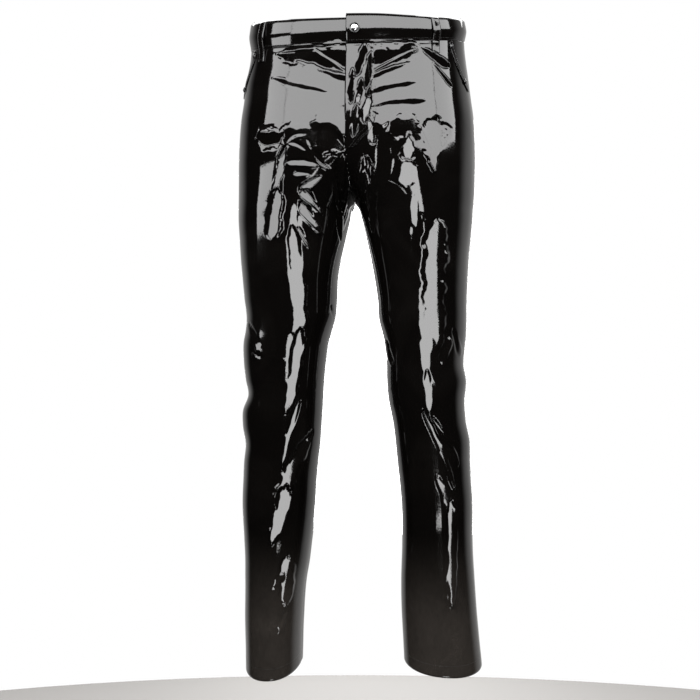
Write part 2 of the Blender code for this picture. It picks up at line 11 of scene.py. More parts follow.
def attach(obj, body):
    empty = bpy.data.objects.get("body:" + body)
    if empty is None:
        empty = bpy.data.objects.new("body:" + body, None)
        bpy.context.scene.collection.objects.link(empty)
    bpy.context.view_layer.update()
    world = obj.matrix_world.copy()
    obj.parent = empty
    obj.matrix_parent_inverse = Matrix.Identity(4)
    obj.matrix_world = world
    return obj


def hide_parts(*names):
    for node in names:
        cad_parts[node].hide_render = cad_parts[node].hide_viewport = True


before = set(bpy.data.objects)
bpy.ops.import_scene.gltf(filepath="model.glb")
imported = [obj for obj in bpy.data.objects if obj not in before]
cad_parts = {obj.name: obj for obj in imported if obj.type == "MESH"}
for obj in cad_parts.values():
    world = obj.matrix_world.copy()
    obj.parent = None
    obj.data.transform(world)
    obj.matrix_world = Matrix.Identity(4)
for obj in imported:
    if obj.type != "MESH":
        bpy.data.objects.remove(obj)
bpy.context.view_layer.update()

mm = 0.001
gap = 0.3 * mm

# the cut, as the solids have it
cut = {
    "turn": math.radians(8),
    "bandTop": 0.018,
    "bandFoot": -0.023,
    "bandTopLean": 0.0035,
    "hem": -1.021,
    "crotch": -0.277,
    "riseCurve": 0.15,
    "crotchBlend": 0.06,
    "fanFoot": 0.09,
    "fanPower": 6,
    "centreFrom": 0.80,
    "centreFade": 0.01,
    "waistDip": 0.011,
    "waistLift": 0.014,
    "waistSlant": 0.030,
    "waistFade": 0.15,
    "hemDrop": {1: 0.018, -1: 0.023},
    "hemLift": 0.01,
    "hemInnerLift": {1: 0.015, -1: 0.002},
    "hemFade": 0.12,
    "halfGirth": 0.29,
}

# z is the height, outer and inner the two seams as seen from the turn, front and back the depth,
# all in millimetres, and square is how square the outline is
Section = namedtuple("Section", "z outer inner front back square", defaults=(2.15,))
leftSide = (
    (30, 166, 0, -108, 112, 2.3),
    (0, 172, 0, -110, 116, 2.3),
    (-39, 174.5, 0, -114, 124, 2.35),
    (-76, 179.5, 0, -118, 132, 2.4),
    (-109, 184, 0, -121, 138, 2.4),
    (-141, 188.5, 0, -122.5, 140, 2.4),
    (-173, 190.5, 0, -122, 138, 2.35),
    (-206, 191, 0, -119, 133, 2.3),
    (-240, 190.5, 0, -114, 124, 2.2),
    (-277, 189, 0, -108, 114),
    (-288, 188, 6, -106.5, 111),
    (-303, 187.5, 10, -105, 107.5),
    (-335, 185, 17, -103, 101),
    (-368, 182, 24, -100, 95),
    (-400, 180, 30, -97, 89),
    (-432, 178.5, 34.5, -94, 84),
    (-465, 178, 37, -90.5, 79),
    (-489, 177.5, 43, -88, 75),
    (-514, 175, 47.5, -86, 72),
    (-538, 173.5, 49, -83.5, 70),
    (-562, 177.5, 49.5, -81.5, 69),
    (-594, 175, 52.5, -78, 69),
    (-627, 177, 59, -73.5, 71.5),
    (-659, 183.5, 63, -69, 74.5),
    (-692, 184.5, 66.5, -65, 77),
    (-724, 186, 70, -62, 78.5),
    (-757, 188, 73, -59.5, 78.5),
    (-821, 188.5, 74.5, -57, 76),
    (-886, 191.5, 73, -56, 73),
    (-951, 196, 74.5, -56, 71),
    (-983, 199, 76, -56.5, 70),
    (-1016, 202.5, 77.5, -57, 69),
    (-1048, 205, 78.5, -57.5, 68.5),
)
rightSide = (
    (30, 162, 0, -108, 112, 2.3),
    (0, 167.5, 0, -110, 116, 2.3),
    (-39, 171, 0, -114, 124, 2.35),
    (-76, 178, 0, -118, 132, 2.4),
    (-109, 181.5, 0, -121, 138, 2.4),
    (-141, 186, 0, -122.5, 140, 2.4),
    (-173, 188.5, 0, -122, 138, 2.35),
    (-206, 189.5, 0, -119, 133, 2.3),
    (-240, 189.5, 0, -114, 124, 2.2),
    (-277, 189.5, 0, -108, 114),
    (-288, 189.5, 6, -106.5, 111),
    (-303, 189.5, 8.5, -105, 107.5),
    (-335, 188, 15, -103, 101),
    (-368, 186, 22.5, -100, 95),
    (-400, 183, 27.5, -97, 89),
    (-432, 180, 29, -94, 84.5),
    (-465, 176.5, 32.5, -91, 80),
    (-481, 178, 37, -89.5, 78),
    (-500, 181.5, 42.5, -88, 76),
    (-530, 181.5, 47, -85.5, 73),
    (-562, 178, 50, -83, 71),
    (-586, 174, 51.5, -80.5, 70),
    (-611, 183, 53, -77.5, 71),
    (-635, 183.5, 54.5, -74.5, 73),
    (-667, 179, 57, -70.5, 76),
    (-692, 181.5, 60, -68, 78.5),
    (-724, 183, 63, -65.5, 81),
    (-757, 184.5, 65, -63.5, 82.5),
    (-821, 181.5, 71, -62.5, 83),
    (-854, 180, 75, -62.5, 83.5),
    (-886, 180, 80.5, -63, 84),
    (-951, 180, 85, -64, 84),
    (-1016, 178.5, 87, -65, 84),
    (-1048, 178, 88, -65.5, 84),
)

sections = {
    side: [Section(*[value / 1000 for value in row[:5]], *row[5:]) for row in table]
    for side, table in ((1, leftSide), (-1, rightSide))
}


def smoothStep(value, low, high):
    part = np.clip((value - low) / (high - low), 0.0, 1.0)
    return part * part * (3.0 - 2.0 * part)


def tableCurve(side, name, heights):
    table = sections[side][::-1]
    zs = np.array([row.z for row in table])
    values = np.array([getattr(row, name) for row in table])
    slopes = np.gradient(values, zs)
    index = np.clip(np.searchsorted(zs, heights) - 1, 0, len(zs) - 2)
    span = zs[index + 1] - zs[index]
    part = np.clip((heights - zs[index]) / span, 0.0, 1.0)
    square = part * part
    cube = square * part
    return ((2 * cube - 3 * square + 1) * values[index]
            + (cube - 2 * square + part) * span * slopes[index]
            + (3 * square - 2 * cube) * values[index + 1]
            + (cube - square) * span * slopes[index + 1])


def legEdges(side, height):
    turn, crotch = cut["turn"], cut["crotch"]
    outerSeen = tableCurve(side, "outer", height)
    innerSeen = np.where(height < crotch, tableCurve(side, "inner", height), 0.0)
    front = tableCurve(side, "front", height)
    back = tableCurve(side, "back", height)
    slant = (back - front) / 2 * math.sin(turn)
    half = np.sqrt(((outerSeen - innerSeen) / 2) ** 2 - slant ** 2) / math.cos(turn)
    middle = (outerSeen + innerSeen) / 2 / math.cos(turn)
    middle = middle - side * (front + back) / 2 * math.tan(turn)
    torso = np.sqrt(outerSeen ** 2 - slant ** 2) / math.cos(turn)
    fade = smoothStep(height, crotch - cut["crotchBlend"], crotch)
    return middle - half, (middle + half) * (1 - fade) + torso * fade


# a point and its level outward direction at a share of the half section: 0 side seam, 1 centre
def sectionPoint(side, face, share, height):
    crotch = cut["crotch"]
    front = tableCurve(side, "front", height)
    back = tableCurve(side, "back", height)
    power = tableCurve(side, "square", height)
    seamY = (front + back) / 2
    depth = (back - front) / 2
    inner, outer = legEdges(side, height)
    atCrotch, _ = legEdges(side, np.array(crotch - 1e-7))
    inner = inner - atCrotch * smoothStep(height, crotch - cut["crotchBlend"], crotch)
    rise = np.clip((height - crotch) / cut["riseCurve"], 0.0, 1.0)
    under = (1.0 - rise) ** 2 * (1.0 + rise)
    below = height < crotch
    axis = np.where(below, (outer + inner) / 2, under * outer / (1.0 + under))
    half = outer - axis
    reach = np.clip(axis / half, 0.0, 1.0)
    endAngle = np.where(below, math.pi, np.arccos(-reach ** (power / 2)))
    fan = smoothStep(-height, -crotch - cut["riseCurve"], cut["fanFoot"] - crotch)
    spread = math.pi / 2 * (1.0 + fan)
    angle = share * spread + (endAngle - spread) * share ** cut["fanPower"]
    cos = np.cos(angle)
    sin = np.maximum(np.sin(angle), 0.0)
    forward = -1.0 if face == "front" else 1.0
    x = axis + half * np.sign(cos) * np.abs(cos) ** (2 / power)
    y = seamY + forward * depth * sin ** (2 / power)
    normalX = np.sign(cos) * np.abs(cos) ** (2 - 2 / power) / half
    normalY = forward * sin ** (2 - 2 / power) / depth
    centre = smoothStep(share, cut["centreFrom"], 1.0)
    centre = centre * smoothStep(height, crotch - cut["centreFade"], crotch)
    normalX = normalX * (1 - centre)
    length = np.maximum(np.sqrt(normalX ** 2 + normalY ** 2), 1e-9)
    return side * x, y, side * normalX / length, normalY / length


def waistLevel(face, across):
    return -across * cut["waistDip"] if face == "front" else across * cut["waistLift"]


def levelShift(side, face, share, height, x):
    bandFoot, hem = cut["bandFoot"], cut["hem"]
    across = np.sin(share * np.where(height < cut["crotch"], math.pi, math.pi / 2))
    inner = (1 - np.cos(share * math.pi)) / 2
    waist = smoothStep(height, bandFoot - cut["waistFade"], bandFoot)
    nearHem = 1 - smoothStep(height, hem, hem + cut["hemFade"])
    shift = waist * (waistLevel(face, across) + cut["waistSlant"] * x)
    tilt = -across * cut["hemDrop"][side] if face == "front" else across * cut["hemLift"]
    return shift + nearHem * (inner * cut["hemInnerLift"][side] + tilt)


# The front is marked out in squares, counted across to 356 at the middle and down from 23.2 at the
# origin, as seen from the turn. A flat is a strip of taut cloth that lies in one plane across itself:
# two ends, a half width at each, how far its middle bows off the straight line, how much its left
# side stands out, looking from the first end to the second, how much its second end does, and how
# many millimetres all of it does.
square = 1.57 * mm
middleSquare = 356.0
originSquare = 23.2
Flat = namedtuple("Flat", "x0 z0 x1 z1 wide0 wide1 bow tilt rise out", defaults=(0.0, 0.0))
frontFlats = [Flat(*row) for row in (
    # under the waist seam the cloth falls in from the drag lines
    (276, 53, 352, 62, 4, 15, 0, 0.12),
    (296, 61, 352, 84, 1.6, 5, 0, 0.12),
    (314, 48, 352, 79, 1, 1.3, 0, -0.26),
    (272, 77, 326, 93, 3.4, 2.2, -1, 0.2),
    (368, 63, 426, 49, 14, 4, 0, 0.1),
    (422, 49, 449, 66, 2.6, 4, 0, 0.22),
    (433, 64, 452, 86, 1.4, 2, 0, 0.2),
    (370, 80, 407, 65, 3.4, 2.2, 0, 0.1),
    (366, 77, 412, 51, 1.1, 1.1, 0, -0.26),
    (370, 95, 415, 84, 3.4, 3.2, 1, 0.08),
    (370, 109, 425, 103, 1.6, 4, 2, 0.1),
    (372, 113, 393, 126, 1.4, 1.6, 0, 0.08),
    # folds on the placket
    (365, 46, 354, 78, 4.5, 3.5, 1, -0.05, -0.16),
    (371, 54, 365, 90, 3, 4, 1, -0.05, -0.16),
    (352, 70, 350, 106, 2.4, 3, 0, 0, -0.16),
    (361, 80, 355, 112, 3, 2.6, 1, -0.05, -0.16),
    (370, 88, 364, 124, 3, 4, 0, -0.05, -0.16),
    (357, 106, 353, 138, 3, 3, 0, 0, -0.16),
    (368, 118, 372, 146, 3, 3, 0, 0, -0.12),
    # the belly stays round down to the foot of the fly
    (314, 126, 350, 126, 12, 15, 0, -0.11, 0, 2.6),
    (377, 124, 394, 117, 4.5, 6, 0, -0.12, 0, 1),
    # below it the cloth turns under
    (274, 139, 342, 150, 9, 12, 7, 0.01, 0, 1.2),
    (390, 134, 416, 128, 9, 15, 0, 0.02, 0, 1.5),
    (436, 122, 431, 174, 15, 2.5, 0, -0.5, 0.17),
    # the fold outside it
    (256, 138, 281, 136, 10, 9, 0, 0.2, 0, 1),
    (284, 146, 275, 200, 2.5, 5, 0, 0.62, 0.2),
    (278, 190, 271, 238, 6.5, 6.5, 0, 0.62),
    # either side of the crotch seam
    (341, 158, 344, 190, 6, 6, 0, 0.3),
    (367, 158, 364, 190, 6, 6, 0, -0.3),
    # the long fold on the wearer's right thigh, and the bars inside it
    (305, 135, 284, 146, 1.2, 1.6, -4, 0.3),
    (289, 144, 306, 152, 2.4, 1.6, 1, -0.22),
    (288, 163, 318, 165, 4, 3, 0, -0.18),
    (293, 175, 310, 175, 3, 2, 0, -0.18),
    (308, 140, 313, 156, 1, 1.2, 1, -0.1),
    (313, 156, 331, 170, 1.2, 1.6, -2, -0.3),
    (322, 176, 300, 192, 1.5, 5, 0, 0.4),
    (302, 191, 320, 214, 6, 2, 0, -0.45, 0.18),
    (300, 203, 320, 235, 5, 2, 0, -0.45, 0.16),
    (294, 204, 292, 238, 4, 6, 0, -0.1),
    (298, 227, 309, 248, 2, 1, 0, -0.45, 0.14),
    (292, 228, 299, 356, 8, 5.5, 2, -0.1, 0.03),
    (302, 242, 308, 272, 2.6, 1.2, 0, -0.24),
    (300, 330, 285, 412, 5, 6, 2, -0.12, 0.04),
    # thin lines that meet below the crotch
    (331, 169, 341, 238, 1.8, 2.6, 2, -0.1),
    (347, 150, 342, 214, 1.6, 1.8, 2, -0.08),
    (362, 150, 370, 220, 1.6, 1.8, 2, -0.04),
    (378, 134, 373, 232, 2, 3, -2, -0.04),
    # the wearer's left thigh
    (418, 212, 419, 340, 8, 8, 0, 0.16),
    (385, 132, 391, 160, 0.9, 1.1, 1, -0.04),
    (393, 160, 390, 178, 2.6, 1.4, 0, -0.04),
    (408, 134, 408, 162, 1.2, 7, 0, -0.03, -0.14),
    (408, 164, 405, 187, 7.5, 9.5, 0, -0.03),
    (385, 181, 407, 197, 1, 1.3, 3, -0.3),
    (413, 198, 414, 226, 4, 5, 0, -0.03),
    (437, 220, 431, 352, 9, 12, -2, -0.03),
    (426, 338, 425, 372, 8, 3.5, 0, -0.02),
    (424, 366, 438, 390, 2.5, 2, 0, 0.05),
    (427, 372, 430, 412, 3, 5, 0, -0.02, 0.05),
    # knees
    (247, 324, 262, 362, 2, 3.5, 1, 0.6, 0.16),
    (252, 354, 284, 362, 4, 5, -4, 0.2),
    (270, 371, 281, 371, 1.4, 1.4, 0, -0.24),
    (278, 377, 288, 376, 1.3, 1.3, 0, -0.24),
    (263, 380, 275, 379, 1.4, 1.4, 0, -0.26),
    (252, 388, 271, 385, 1.2, 1.6, 0, -0.3),
    (331, 304, 337, 332, 2, 2, 1, -0.5, 0.14),
    (386, 340, 393, 366, 2, 2, -1, 0.4, 0.16),
    (449, 338, 441, 362, 4, 4, 0, -0.2, -0.14),
    (454, 330, 462, 356, 2, 3, 0, -0.7, 0.18),
    # calves
    (299, 402, 281, 470, 2.6, 2.4, -2, -0.11, 0.1),
    (311, 434, 276, 510, 3, 9, -3, -0.14, 0.08),
    (285, 492, 271, 548, 9.5, 4, 0, -0.12, 0.07),
    (286, 562, 284, 610, 6.5, 5.5, 0, -0.11, 0.12),
    (283, 579, 270, 593, 3.5, 1.6, 0, -0.12, 0.12),
    (285, 616, 277, 638, 2.4, 2, 0, -0.11, 0.12),
    (432, 418, 459, 466, 2.4, 2.2, 2, -0.05, 0.1),
    (423, 412, 454, 490, 2.6, 2.6, 3, -0.05, 0.1),
    (436, 478, 450, 512, 3, 4.4, 2, -0.05, 0.08),
    (452, 502, 453, 608, 4.8, 3.6, 0, -0.04, 0.06),
)]
# A crease is a line in the same squares, with its half width and height in millimetres and the
# sharpness of its crest, from 0 to 1.
Crease = namedtuple("Crease", "x0 z0 x1 z1 bow width height edge")
frontCreases = [Crease(*row) for row in (
    # the seam allowance under the band
    (272, 51, 346, 47, 0, 2.2, 1, 0.2),
    (350, 46.5, 438, 43, 0, 2.2, 1, 0.2),
)]
backCreases = [Crease(*row) for row in (    # these are in millimetres all through
    # under the seat
    (-20, -262, -120, -318, 8, 10, 3.6, 0.1),
    (20, -266, 124, -322, -8, 10, 3.6, 0.1),
    (-30, -300, -140, -372, 9, 11, -3, 0.1),
    (28, -296, 138, -366, -9, 11, -3, 0.1),
    (-14, -250, -84, -268, 4, 6, 2, 0.4),
    (16, -254, 90, -276, -4, 6, 2, 0.4),
    (-40, -318, -108, -344, 5, 6, 1.8, 0.3),
    (38, -322, 112, -350, -5, 6, 1.8, 0.3),
    (-60, -120, -150, -190, 8, 17, 3, 0),
    (56, -116, 148, -182, -8, 17, 3, 0),
    (-4, -150, -12, -238, 3, 7, 1.6, 0.3),
    (5, -160, 14, -244, -3, 7, 1.4, 0.3),
    # behind the knees
    (-170, -480, -60, -505, -6, 10, 3.6, 0.1),
    (-174, -528, -64, -520, 7, 10, -3.4, 0.1),
    (-168, -560, -58, -585, -6, 11, 4, 0.1),
    (-172, -618, -70, -604, 6, 11, -3.2, 0.1),
    (-150, -500, -80, -512, -4, 5, 1.8, 0.4),
    (-160, -544, -96, -548, 3, 5, 1.8, 0.4),
    (-140, -596, -76, -604, -3, 5, 1.6, 0.4),
    (172, -474, 52, -498, 6, 10, 3.6, 0.1),
    (176, -522, 60, -516, -7, 10, -3.4, 0.1),
    (170, -556, 58, -580, 6, 11, 4, 0.1),
    (176, -612, 66, -598, -6, 11, -3.2, 0.1),
    (150, -496, 84, -508, 4, 5, 1.8, 0.4),
    (158, -540, 92, -546, -3, 5, 1.8, 0.4),
    (144, -590, 78, -600, 3, 5, 1.6, 0.4),
    # calves
    (-96, -650, -160, -770, 8, 13, 3.4, 0),
    (-80, -690, -140, -800, 8, 9, 2.2, 0.1),
    (98, -646, 166, -764, -8, 13, 3.4, 0),
    (84, -684, 148, -798, -8, 9, 2.2, 0.1),
    (-120, -830, -140, -960, 6, 17, 2.8, 0),
    (150, -826, 142, -955, -6, 17, 2.8, 0),
)]
linePieces = 8              # straight stretches that a bowed line is made of


def onLine(ends, bow, share):
    run = ends[1] - ends[0]
    aside = np.array([-run[1], run[0]]) / np.hypot(*run) * bow
    share = share[:, None]
    return ends[0] + run * share + aside * np.sin(math.pi * share)


# where each point lies by a bowed line: its share of the way, its distance, and its left offset
def byLine(ends, bow, px, pz):
    steps = np.linspace(0.0, 1.0, linePieces + 1)
    spots = onLine(ends, bow, steps)
    nearest = np.full_like(px, 1.0)
    along = np.zeros_like(px)
    offset = np.zeros_like(px)
    for first, last, a, b in zip(steps, steps[1:], spots, spots[1:]):
        way = b - a
        part = np.clip(((px - a[0]) * way[0] + (pz - a[1]) * way[1]) / (way @ way), 0.0, 1.0)
        away = np.hypot(px - a[0] - part * way[0], pz - a[1] - part * way[1])
        left = (way[0] * (pz - a[1]) - way[1] * (px - a[0])) / np.hypot(*way)
        closer = away < nearest
        nearest = np.where(closer, away, nearest)
        along = np.where(closer, first + part * (last - first), along)
        offset = np.where(closer, left, offset)
    return along, nearest, offset


def lineEnds(line, unit):
    if unit == mm:
        return np.array([line.x0, line.z0]) * mm, np.array([line.x1, line.z1]) * mm
    return (np.array([line.x0 - middleSquare, originSquare - line.z0]) * square,
            np.array([line.x1 - middleSquare, originSquare - line.z1]) * square)


def closeTo(ends, reach, seenX, seenZ):
    low = np.minimum(*ends) - reach
    high = np.maximum(*ends) + reach
    return (seenX > low[0]) & (seenX < high[0]) & (seenZ > low[1]) & (seenZ < high[1])


creaseShape = {
    "reach": 2.6,           # half widths from its line where it has died out
    "endWidth": 0.45,       # share of its width that is left at its ends
    "endFade": 0.6,
    "sharpFall": 1.5,
    "crest": 0.012,         # how round a sharp crest is, and the level of its top
    "crestTop": 0.11,
}


def creaseHeight(creases, seenX, seenZ, unit):
    total = np.zeros_like(seenX)
    for crease in creases:
        ends = lineEnds(crease, unit)
        reach = creaseShape["reach"] * crease.width * mm + abs(crease.bow) * unit
        close = closeTo(ends, reach, seenX, seenZ)
        if not close.any():
            continue
        along, nearest, _ = byLine(ends, crease.bow * unit, seenX[close], seenZ[close])
        taper = np.sin(math.pi * along)
        endWidth = creaseShape["endWidth"]
        off = nearest / (crease.width * mm * (endWidth + (1 - endWidth) * taper))
        soft = np.exp(-off ** 2)
        rounded = np.sqrt(off ** 2 + creaseShape["crest"]) - creaseShape["crestTop"]
        sharp = np.exp(-creaseShape["sharpFall"] * rounded)
        shape = soft * (1 - crease.edge) + sharp * crease.edge
        total[close] += crease.height * mm * np.maximum(taper, 0.0) ** creaseShape["endFade"] * shape
    return total


def toCamera(x, y):
    return x * math.sin(cut["turn"]) - y * math.cos(cut["turn"])


# how near the camera the cloth lies in front without flats or creases, at a place as seen
def bareDepth(side, seenX, z):
    share = np.linspace(0.0, 1.0, 160)
    height = np.full_like(share, z)
    for _ in range(2):
        x, y, _, _ = sectionPoint(side, "front", share, height)
        height = z - levelShift(side, "front", share, height, x)
    seen = x * math.cos(cut["turn"]) + y * math.sin(cut["turn"])
    depth = toCamera(x, y)
    order = np.argsort(seen)
    return np.interp(seenX, seen[order], depth[order])


# length and size in millimetres and turn of the ripples that keep a flat's edge from running straight
ripples = [(62, 2.2, 0.3), (43, 1.6, 1.4), (29, 1.2, 2.5), (19, 0.9, 3.9), (12, 0.6, 5.2), (8, 0.4, 0.9)]


def rippled(seenX, seenZ):
    movedX, movedZ = seenX.copy(), seenZ.copy()
    for length, size, turned in ripples:
        way = (seenX * math.cos(turned) + seenZ * math.sin(turned)) * 2 * math.pi / (length * mm)
        movedX += size * mm * np.sin(way + 3 * turned)
        movedZ += size * mm * np.cos(1.13 * way + 5 * turned)
    return movedX, movedZ


flatShape = {
    "leftFrom": 6,          # squares before the middle where the wearer's left side begins
    "reach": 1.6,           # half widths, and squares more, that it can touch
    "margin": 4,
    "rippledWidth": 14,     # half width from which its edge takes the ripples in full
    "tip": 0.2,             # share of its length over which an end narrows, and what is left there
    "tipWidth": 0.25,
    "firm": 0.65,           # it fades out between these half widths
    "faded": 1.5,
}


def flatMove(side, seenX, seenZ, depth, facing):
    roughX, roughZ = rippled(seenX, seenZ)
    steps = np.linspace(0.0, 1.0, linePieces + 1)
    move = np.zeros_like(seenX)
    for flat in frontFlats:
        if (flat.x0 + flat.x1 > 2 * (middleSquare - flatShape["leftFrom"])) != (side > 0):
            continue
        ends = lineEnds(flat, square)
        bow = flat.bow * square
        widest = max(flat.wide0, flat.wide1)
        reach = (flatShape["reach"] * widest + abs(flat.bow) + flatShape["margin"]) * square
        close = closeTo(ends, reach, seenX, seenZ)
        if not close.any():
            continue
        along, _, offset = byLine(ends, bow, seenX[close], seenZ[close])
        rough = min(widest / flatShape["rippledWidth"], 1.0)
        edgeX = seenX[close] + rough * (roughX - seenX)[close]
        edgeZ = seenZ[close] + rough * (roughZ - seenZ)[close]
        share, nearest, _ = byLine(ends, bow, edgeX, edgeZ)
        spine = np.array([float(bareDepth(side, *spot)) for spot in onLine(ends, bow, steps)])
        spine = spine + flat.rise * np.hypot(*(ends[1] - ends[0])) * (steps - 0.5) + flat.out * mm
        tip = np.sqrt(np.clip(np.minimum(share, 1 - share) / flatShape["tip"], 0.0, 1.0))
        half = (flat.wide0 + (flat.wide1 - flat.wide0) * share) * square
        half = half * (flatShape["tipWidth"] + (1 - flatShape["tipWidth"]) * tip)
        weight = 1 - smoothStep(nearest / half, flatShape["firm"], flatShape["faded"])
        plane = np.interp(along, steps, spine) + flat.tilt * offset
        wanted = (plane - depth[close]) * facing[close]
        move[close] = move[close] * (1 - weight) + wanted * weight
    return move


waves = {"length": 0.055, "height": 0.00035, "fineLength": 0.017, "fineHeight": 0.00006}


def waveHeight(x, y, z):
    points = np.stack([x, y, z], axis=-1).reshape(-1, 3)
    length, fine = waves["length"], waves["fineLength"]
    found = [noise.noise(Vector(p / length)) * waves["height"]
             + noise.noise(Vector(p / fine)) * waves["fineHeight"] for p in points]
    return np.array(found).reshape(x.shape)


seamFade = {"bare": 0.05, "full": 0.45}     # creases fade out where the cloth turns to the side


# the cloth without its creases, its outward direction, and how far the creases move it
def clothSurface(side, face, share, height):
    share, height = np.broadcast_arrays(np.asarray(share, float), np.asarray(height, float))
    x, y, normalX, normalY = sectionPoint(side, face, share, height)
    z = height + levelShift(side, face, share, height, x)
    if face == "front":
        seen = x * math.cos(cut["turn"]) + y * math.sin(cut["turn"])
        facing = toCamera(normalX, normalY)
        move = flatMove(side, seen, z, toCamera(x, y), facing)
        move = move + creaseHeight(frontCreases, seen, z, square)
    else:
        move = creaseHeight(backCreases, x, z, mm)
    move = move * smoothStep(np.abs(normalY), seamFade["bare"], seamFade["full"])
    move = move + waveHeight(x, y, z)
    base = np.stack([x, y, z], axis=-1)
    normal = np.stack([normalX, normalY, np.zeros_like(x)], axis=-1)
    return base, normal, move


def clothPoint(side, face, share, height, out):
    base, normal, move = clothSurface(side, face, share, height)
    return base + normal * (move + out)[..., None]


# by its place round the waist: -1 centre back, 0 side seam, 1 centre front, past 1 the other side
def girthPoints(side, girth, height, out):
    girth, height, out = np.broadcast_arrays(girth, height, out)
    points = np.zeros(girth.shape + (3,))
    for turned, face, here in (
        (side, "front", (girth > 0) & (girth <= 1)),
        (side, "back", (girth <= 0) & (girth >= -1)),
        (-side, "front", girth > 1),
        (-side, "back", girth < -1),
    ):
        if not here.any():
            continue
        share = np.abs(girth[here])
        share = np.where(share > 1, 2 - share, share)
        base, normal, move = clothSurface(turned, face, share, height[here])
        points[here] = base + normal * (move + out[here])[..., None]
    return points


def gridMesh(name, points, wall):
    rows, columns, _ = points.shape
    bpy.ops.object.select_all(action="DESELECT")
    bpy.ops.mesh.primitive_grid_add(x_subdivisions=columns - 1, y_subdivisions=rows - 1, size=1)
    piece = bpy.context.object
    piece.name = name
    piece.data.name = name
    piece.data.vertices.foreach_set("co", points.reshape(-1).astype(np.float32))
    piece.data.update()
    solid = piece.modifiers.new("wall", "SOLIDIFY")
    solid.thickness = wall
    solid.offset = -1
    bpy.ops.object.modifier_apply(modifier="wall")
    piece.data.shade_smooth()
    return piece


# the lowest value within reach of each place
def lowest(field, reach):
    low = field
    for axis in (0, 1):
        last = low.shape[axis] - 1
        places = [np.clip(np.arange(last + 1) + step, 0, last) for step in range(-reach, reach + 1)]
        low = np.min([np.take(low, place, axis) for place in places], axis=0)
    return low


# a fine outer face and a coarser inner one, joined round the rim
def shellMesh(name, outer, inner, every):
    index = np.arange(outer[..., 0].size).reshape(outer.shape[:2])
    backIndex = index.size + np.arange(inner[..., 0].size).reshape(inner.shape[:2])
    quads = np.stack([index[:-1, :-1], index[:-1, 1:], index[1:, 1:], index[1:, :-1]], axis=-1)
    backQuads = np.stack([backIndex[:-1, :-1], backIndex[1:, :-1], backIndex[1:, 1:],
                          backIndex[:-1, 1:]], axis=-1)
    faces = quads.reshape(-1, 4).tolist() + backQuads.reshape(-1, 4).tolist()
    edges = (
        (index[0], backIndex[0], False),
        (index[-1], backIndex[-1], True),
        (index[:, 0], backIndex[:, 0], True),
        (index[:, -1], backIndex[:, -1], False),
    )
    for fine, coarse, along in edges:
        for at in range(len(coarse) - 1):
            line = fine[at * every:(at + 1) * every + 1].tolist()
            rim = line[::-1] + [int(coarse[at]), int(coarse[at + 1])]
            faces.append(rim[::-1] if along else rim)
    points = np.concatenate([outer.reshape(-1, 3), inner.reshape(-1, 3)])
    mesh = bpy.data.meshes.new(name)
    mesh.from_pydata(points.tolist(), [], faces)
    mesh.update()
    piece = bpy.data.objects.new(name, mesh)
    bpy.context.scene.collection.objects.link(piece)
    mesh.shade_smooth()
    return piece


def addPiece(piece, material, nodes=()):
    piece.data.materials.clear()
    piece.data.materials.append(material)
    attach(piece, "root")
    if nodes:
        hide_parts(*nodes)


# finishes
class Wire:
    def __init__(self, tree, socket):
        self.tree = tree
        self.socket = socket

    def join(self, operation, first, second):
        node = self.tree.nodes.new("ShaderNodeMath")
        node.operation = operation
        for slot, value in enumerate((first, second)):
            if isinstance(value, Wire):
                self.tree.links.new(value.socket, node.inputs[slot])
            else:
                node.inputs[slot].default_value = value
        return Wire(self.tree, node.outputs[0])

    def __add__(self, other):
        return self.join("ADD", self, other)

    def __radd__(self, other):
        return self.join("ADD", other, self)

    def __sub__(self, other):
        return self.join("SUBTRACT", self, other)

    def __rsub__(self, other):
        return self.join("SUBTRACT", other, self)

    def __mul__(self, other):
        return self.join("MULTIPLY", self, other)

    def __rmul__(self, other):
        return self.join("MULTIPLY", other, self)


class Nodes:
    def __init__(self, tree):
        self.tree = tree

    def add(self, kind, settings=None, values=None, output=0):
        node = self.tree.nodes.new(kind)
        for name, value in (settings or {}).items():
            setattr(node, name, value)
        for name, value in (values or {}).items():
            self.feed(node.inputs[name], value)
        return Wire(self.tree, node.outputs[output])

    def feed(self, socket, value):
        if isinstance(value, Wire):
            self.tree.links.new(value.socket, socket)
        else:
            socket.default_value = value

    # a value's range brought to another, with soft ends
    def fade(self, value, start, end, first, last):
        return self.add("ShaderNodeMapRange", {"interpolation_type": "SMOOTHSTEP"}, {
            "Value": value, "From Min": start, "From Max": end, "To Min": first, "To Max": last})


class Finish(Nodes):
    def __init__(self, name):
        self.material = bpy.data.materials.new(name)
        self.material.use_nodes = True
        super().__init__(self.material.node_tree)
        self.shader = self.tree.nodes["Principled BSDF"]
        self.place = self.add("ShaderNodeTexCoord", output=3)

    def grain(self, scale, detail, rough, swirl=0.0):
        return self.add("ShaderNodeTexNoise", values={
            "Vector": self.place, "Scale": scale, "Detail": detail, "Roughness": rough,
            "Distortion": swirl})

    def ramp(self, value, low, high):
        wire = self.add("ShaderNodeValToRGB", values={"Fac": value})
        stops = wire.socket.node.color_ramp.elements
        stops[0].position, stops[0].color = low, (0, 0, 0, 1)
        stops[1].position, stops[1].color = high, (1, 1, 1, 1)
        return wire

    def blend(self, share, first, second):
        return self.add("ShaderNodeMix", {"data_type": "RGBA"}, {0: share, 6: first, 7: second}, output=2)

    def bump(self, strength, distance, height):
        return self.add("ShaderNodeBump", values={
            "Strength": strength, "Distance": distance, "Height": height})

    def shape(self, **values):
        for name, value in values.items():
            self.feed(self.shader.inputs[name.replace("_", " ")], value)
        return self.material


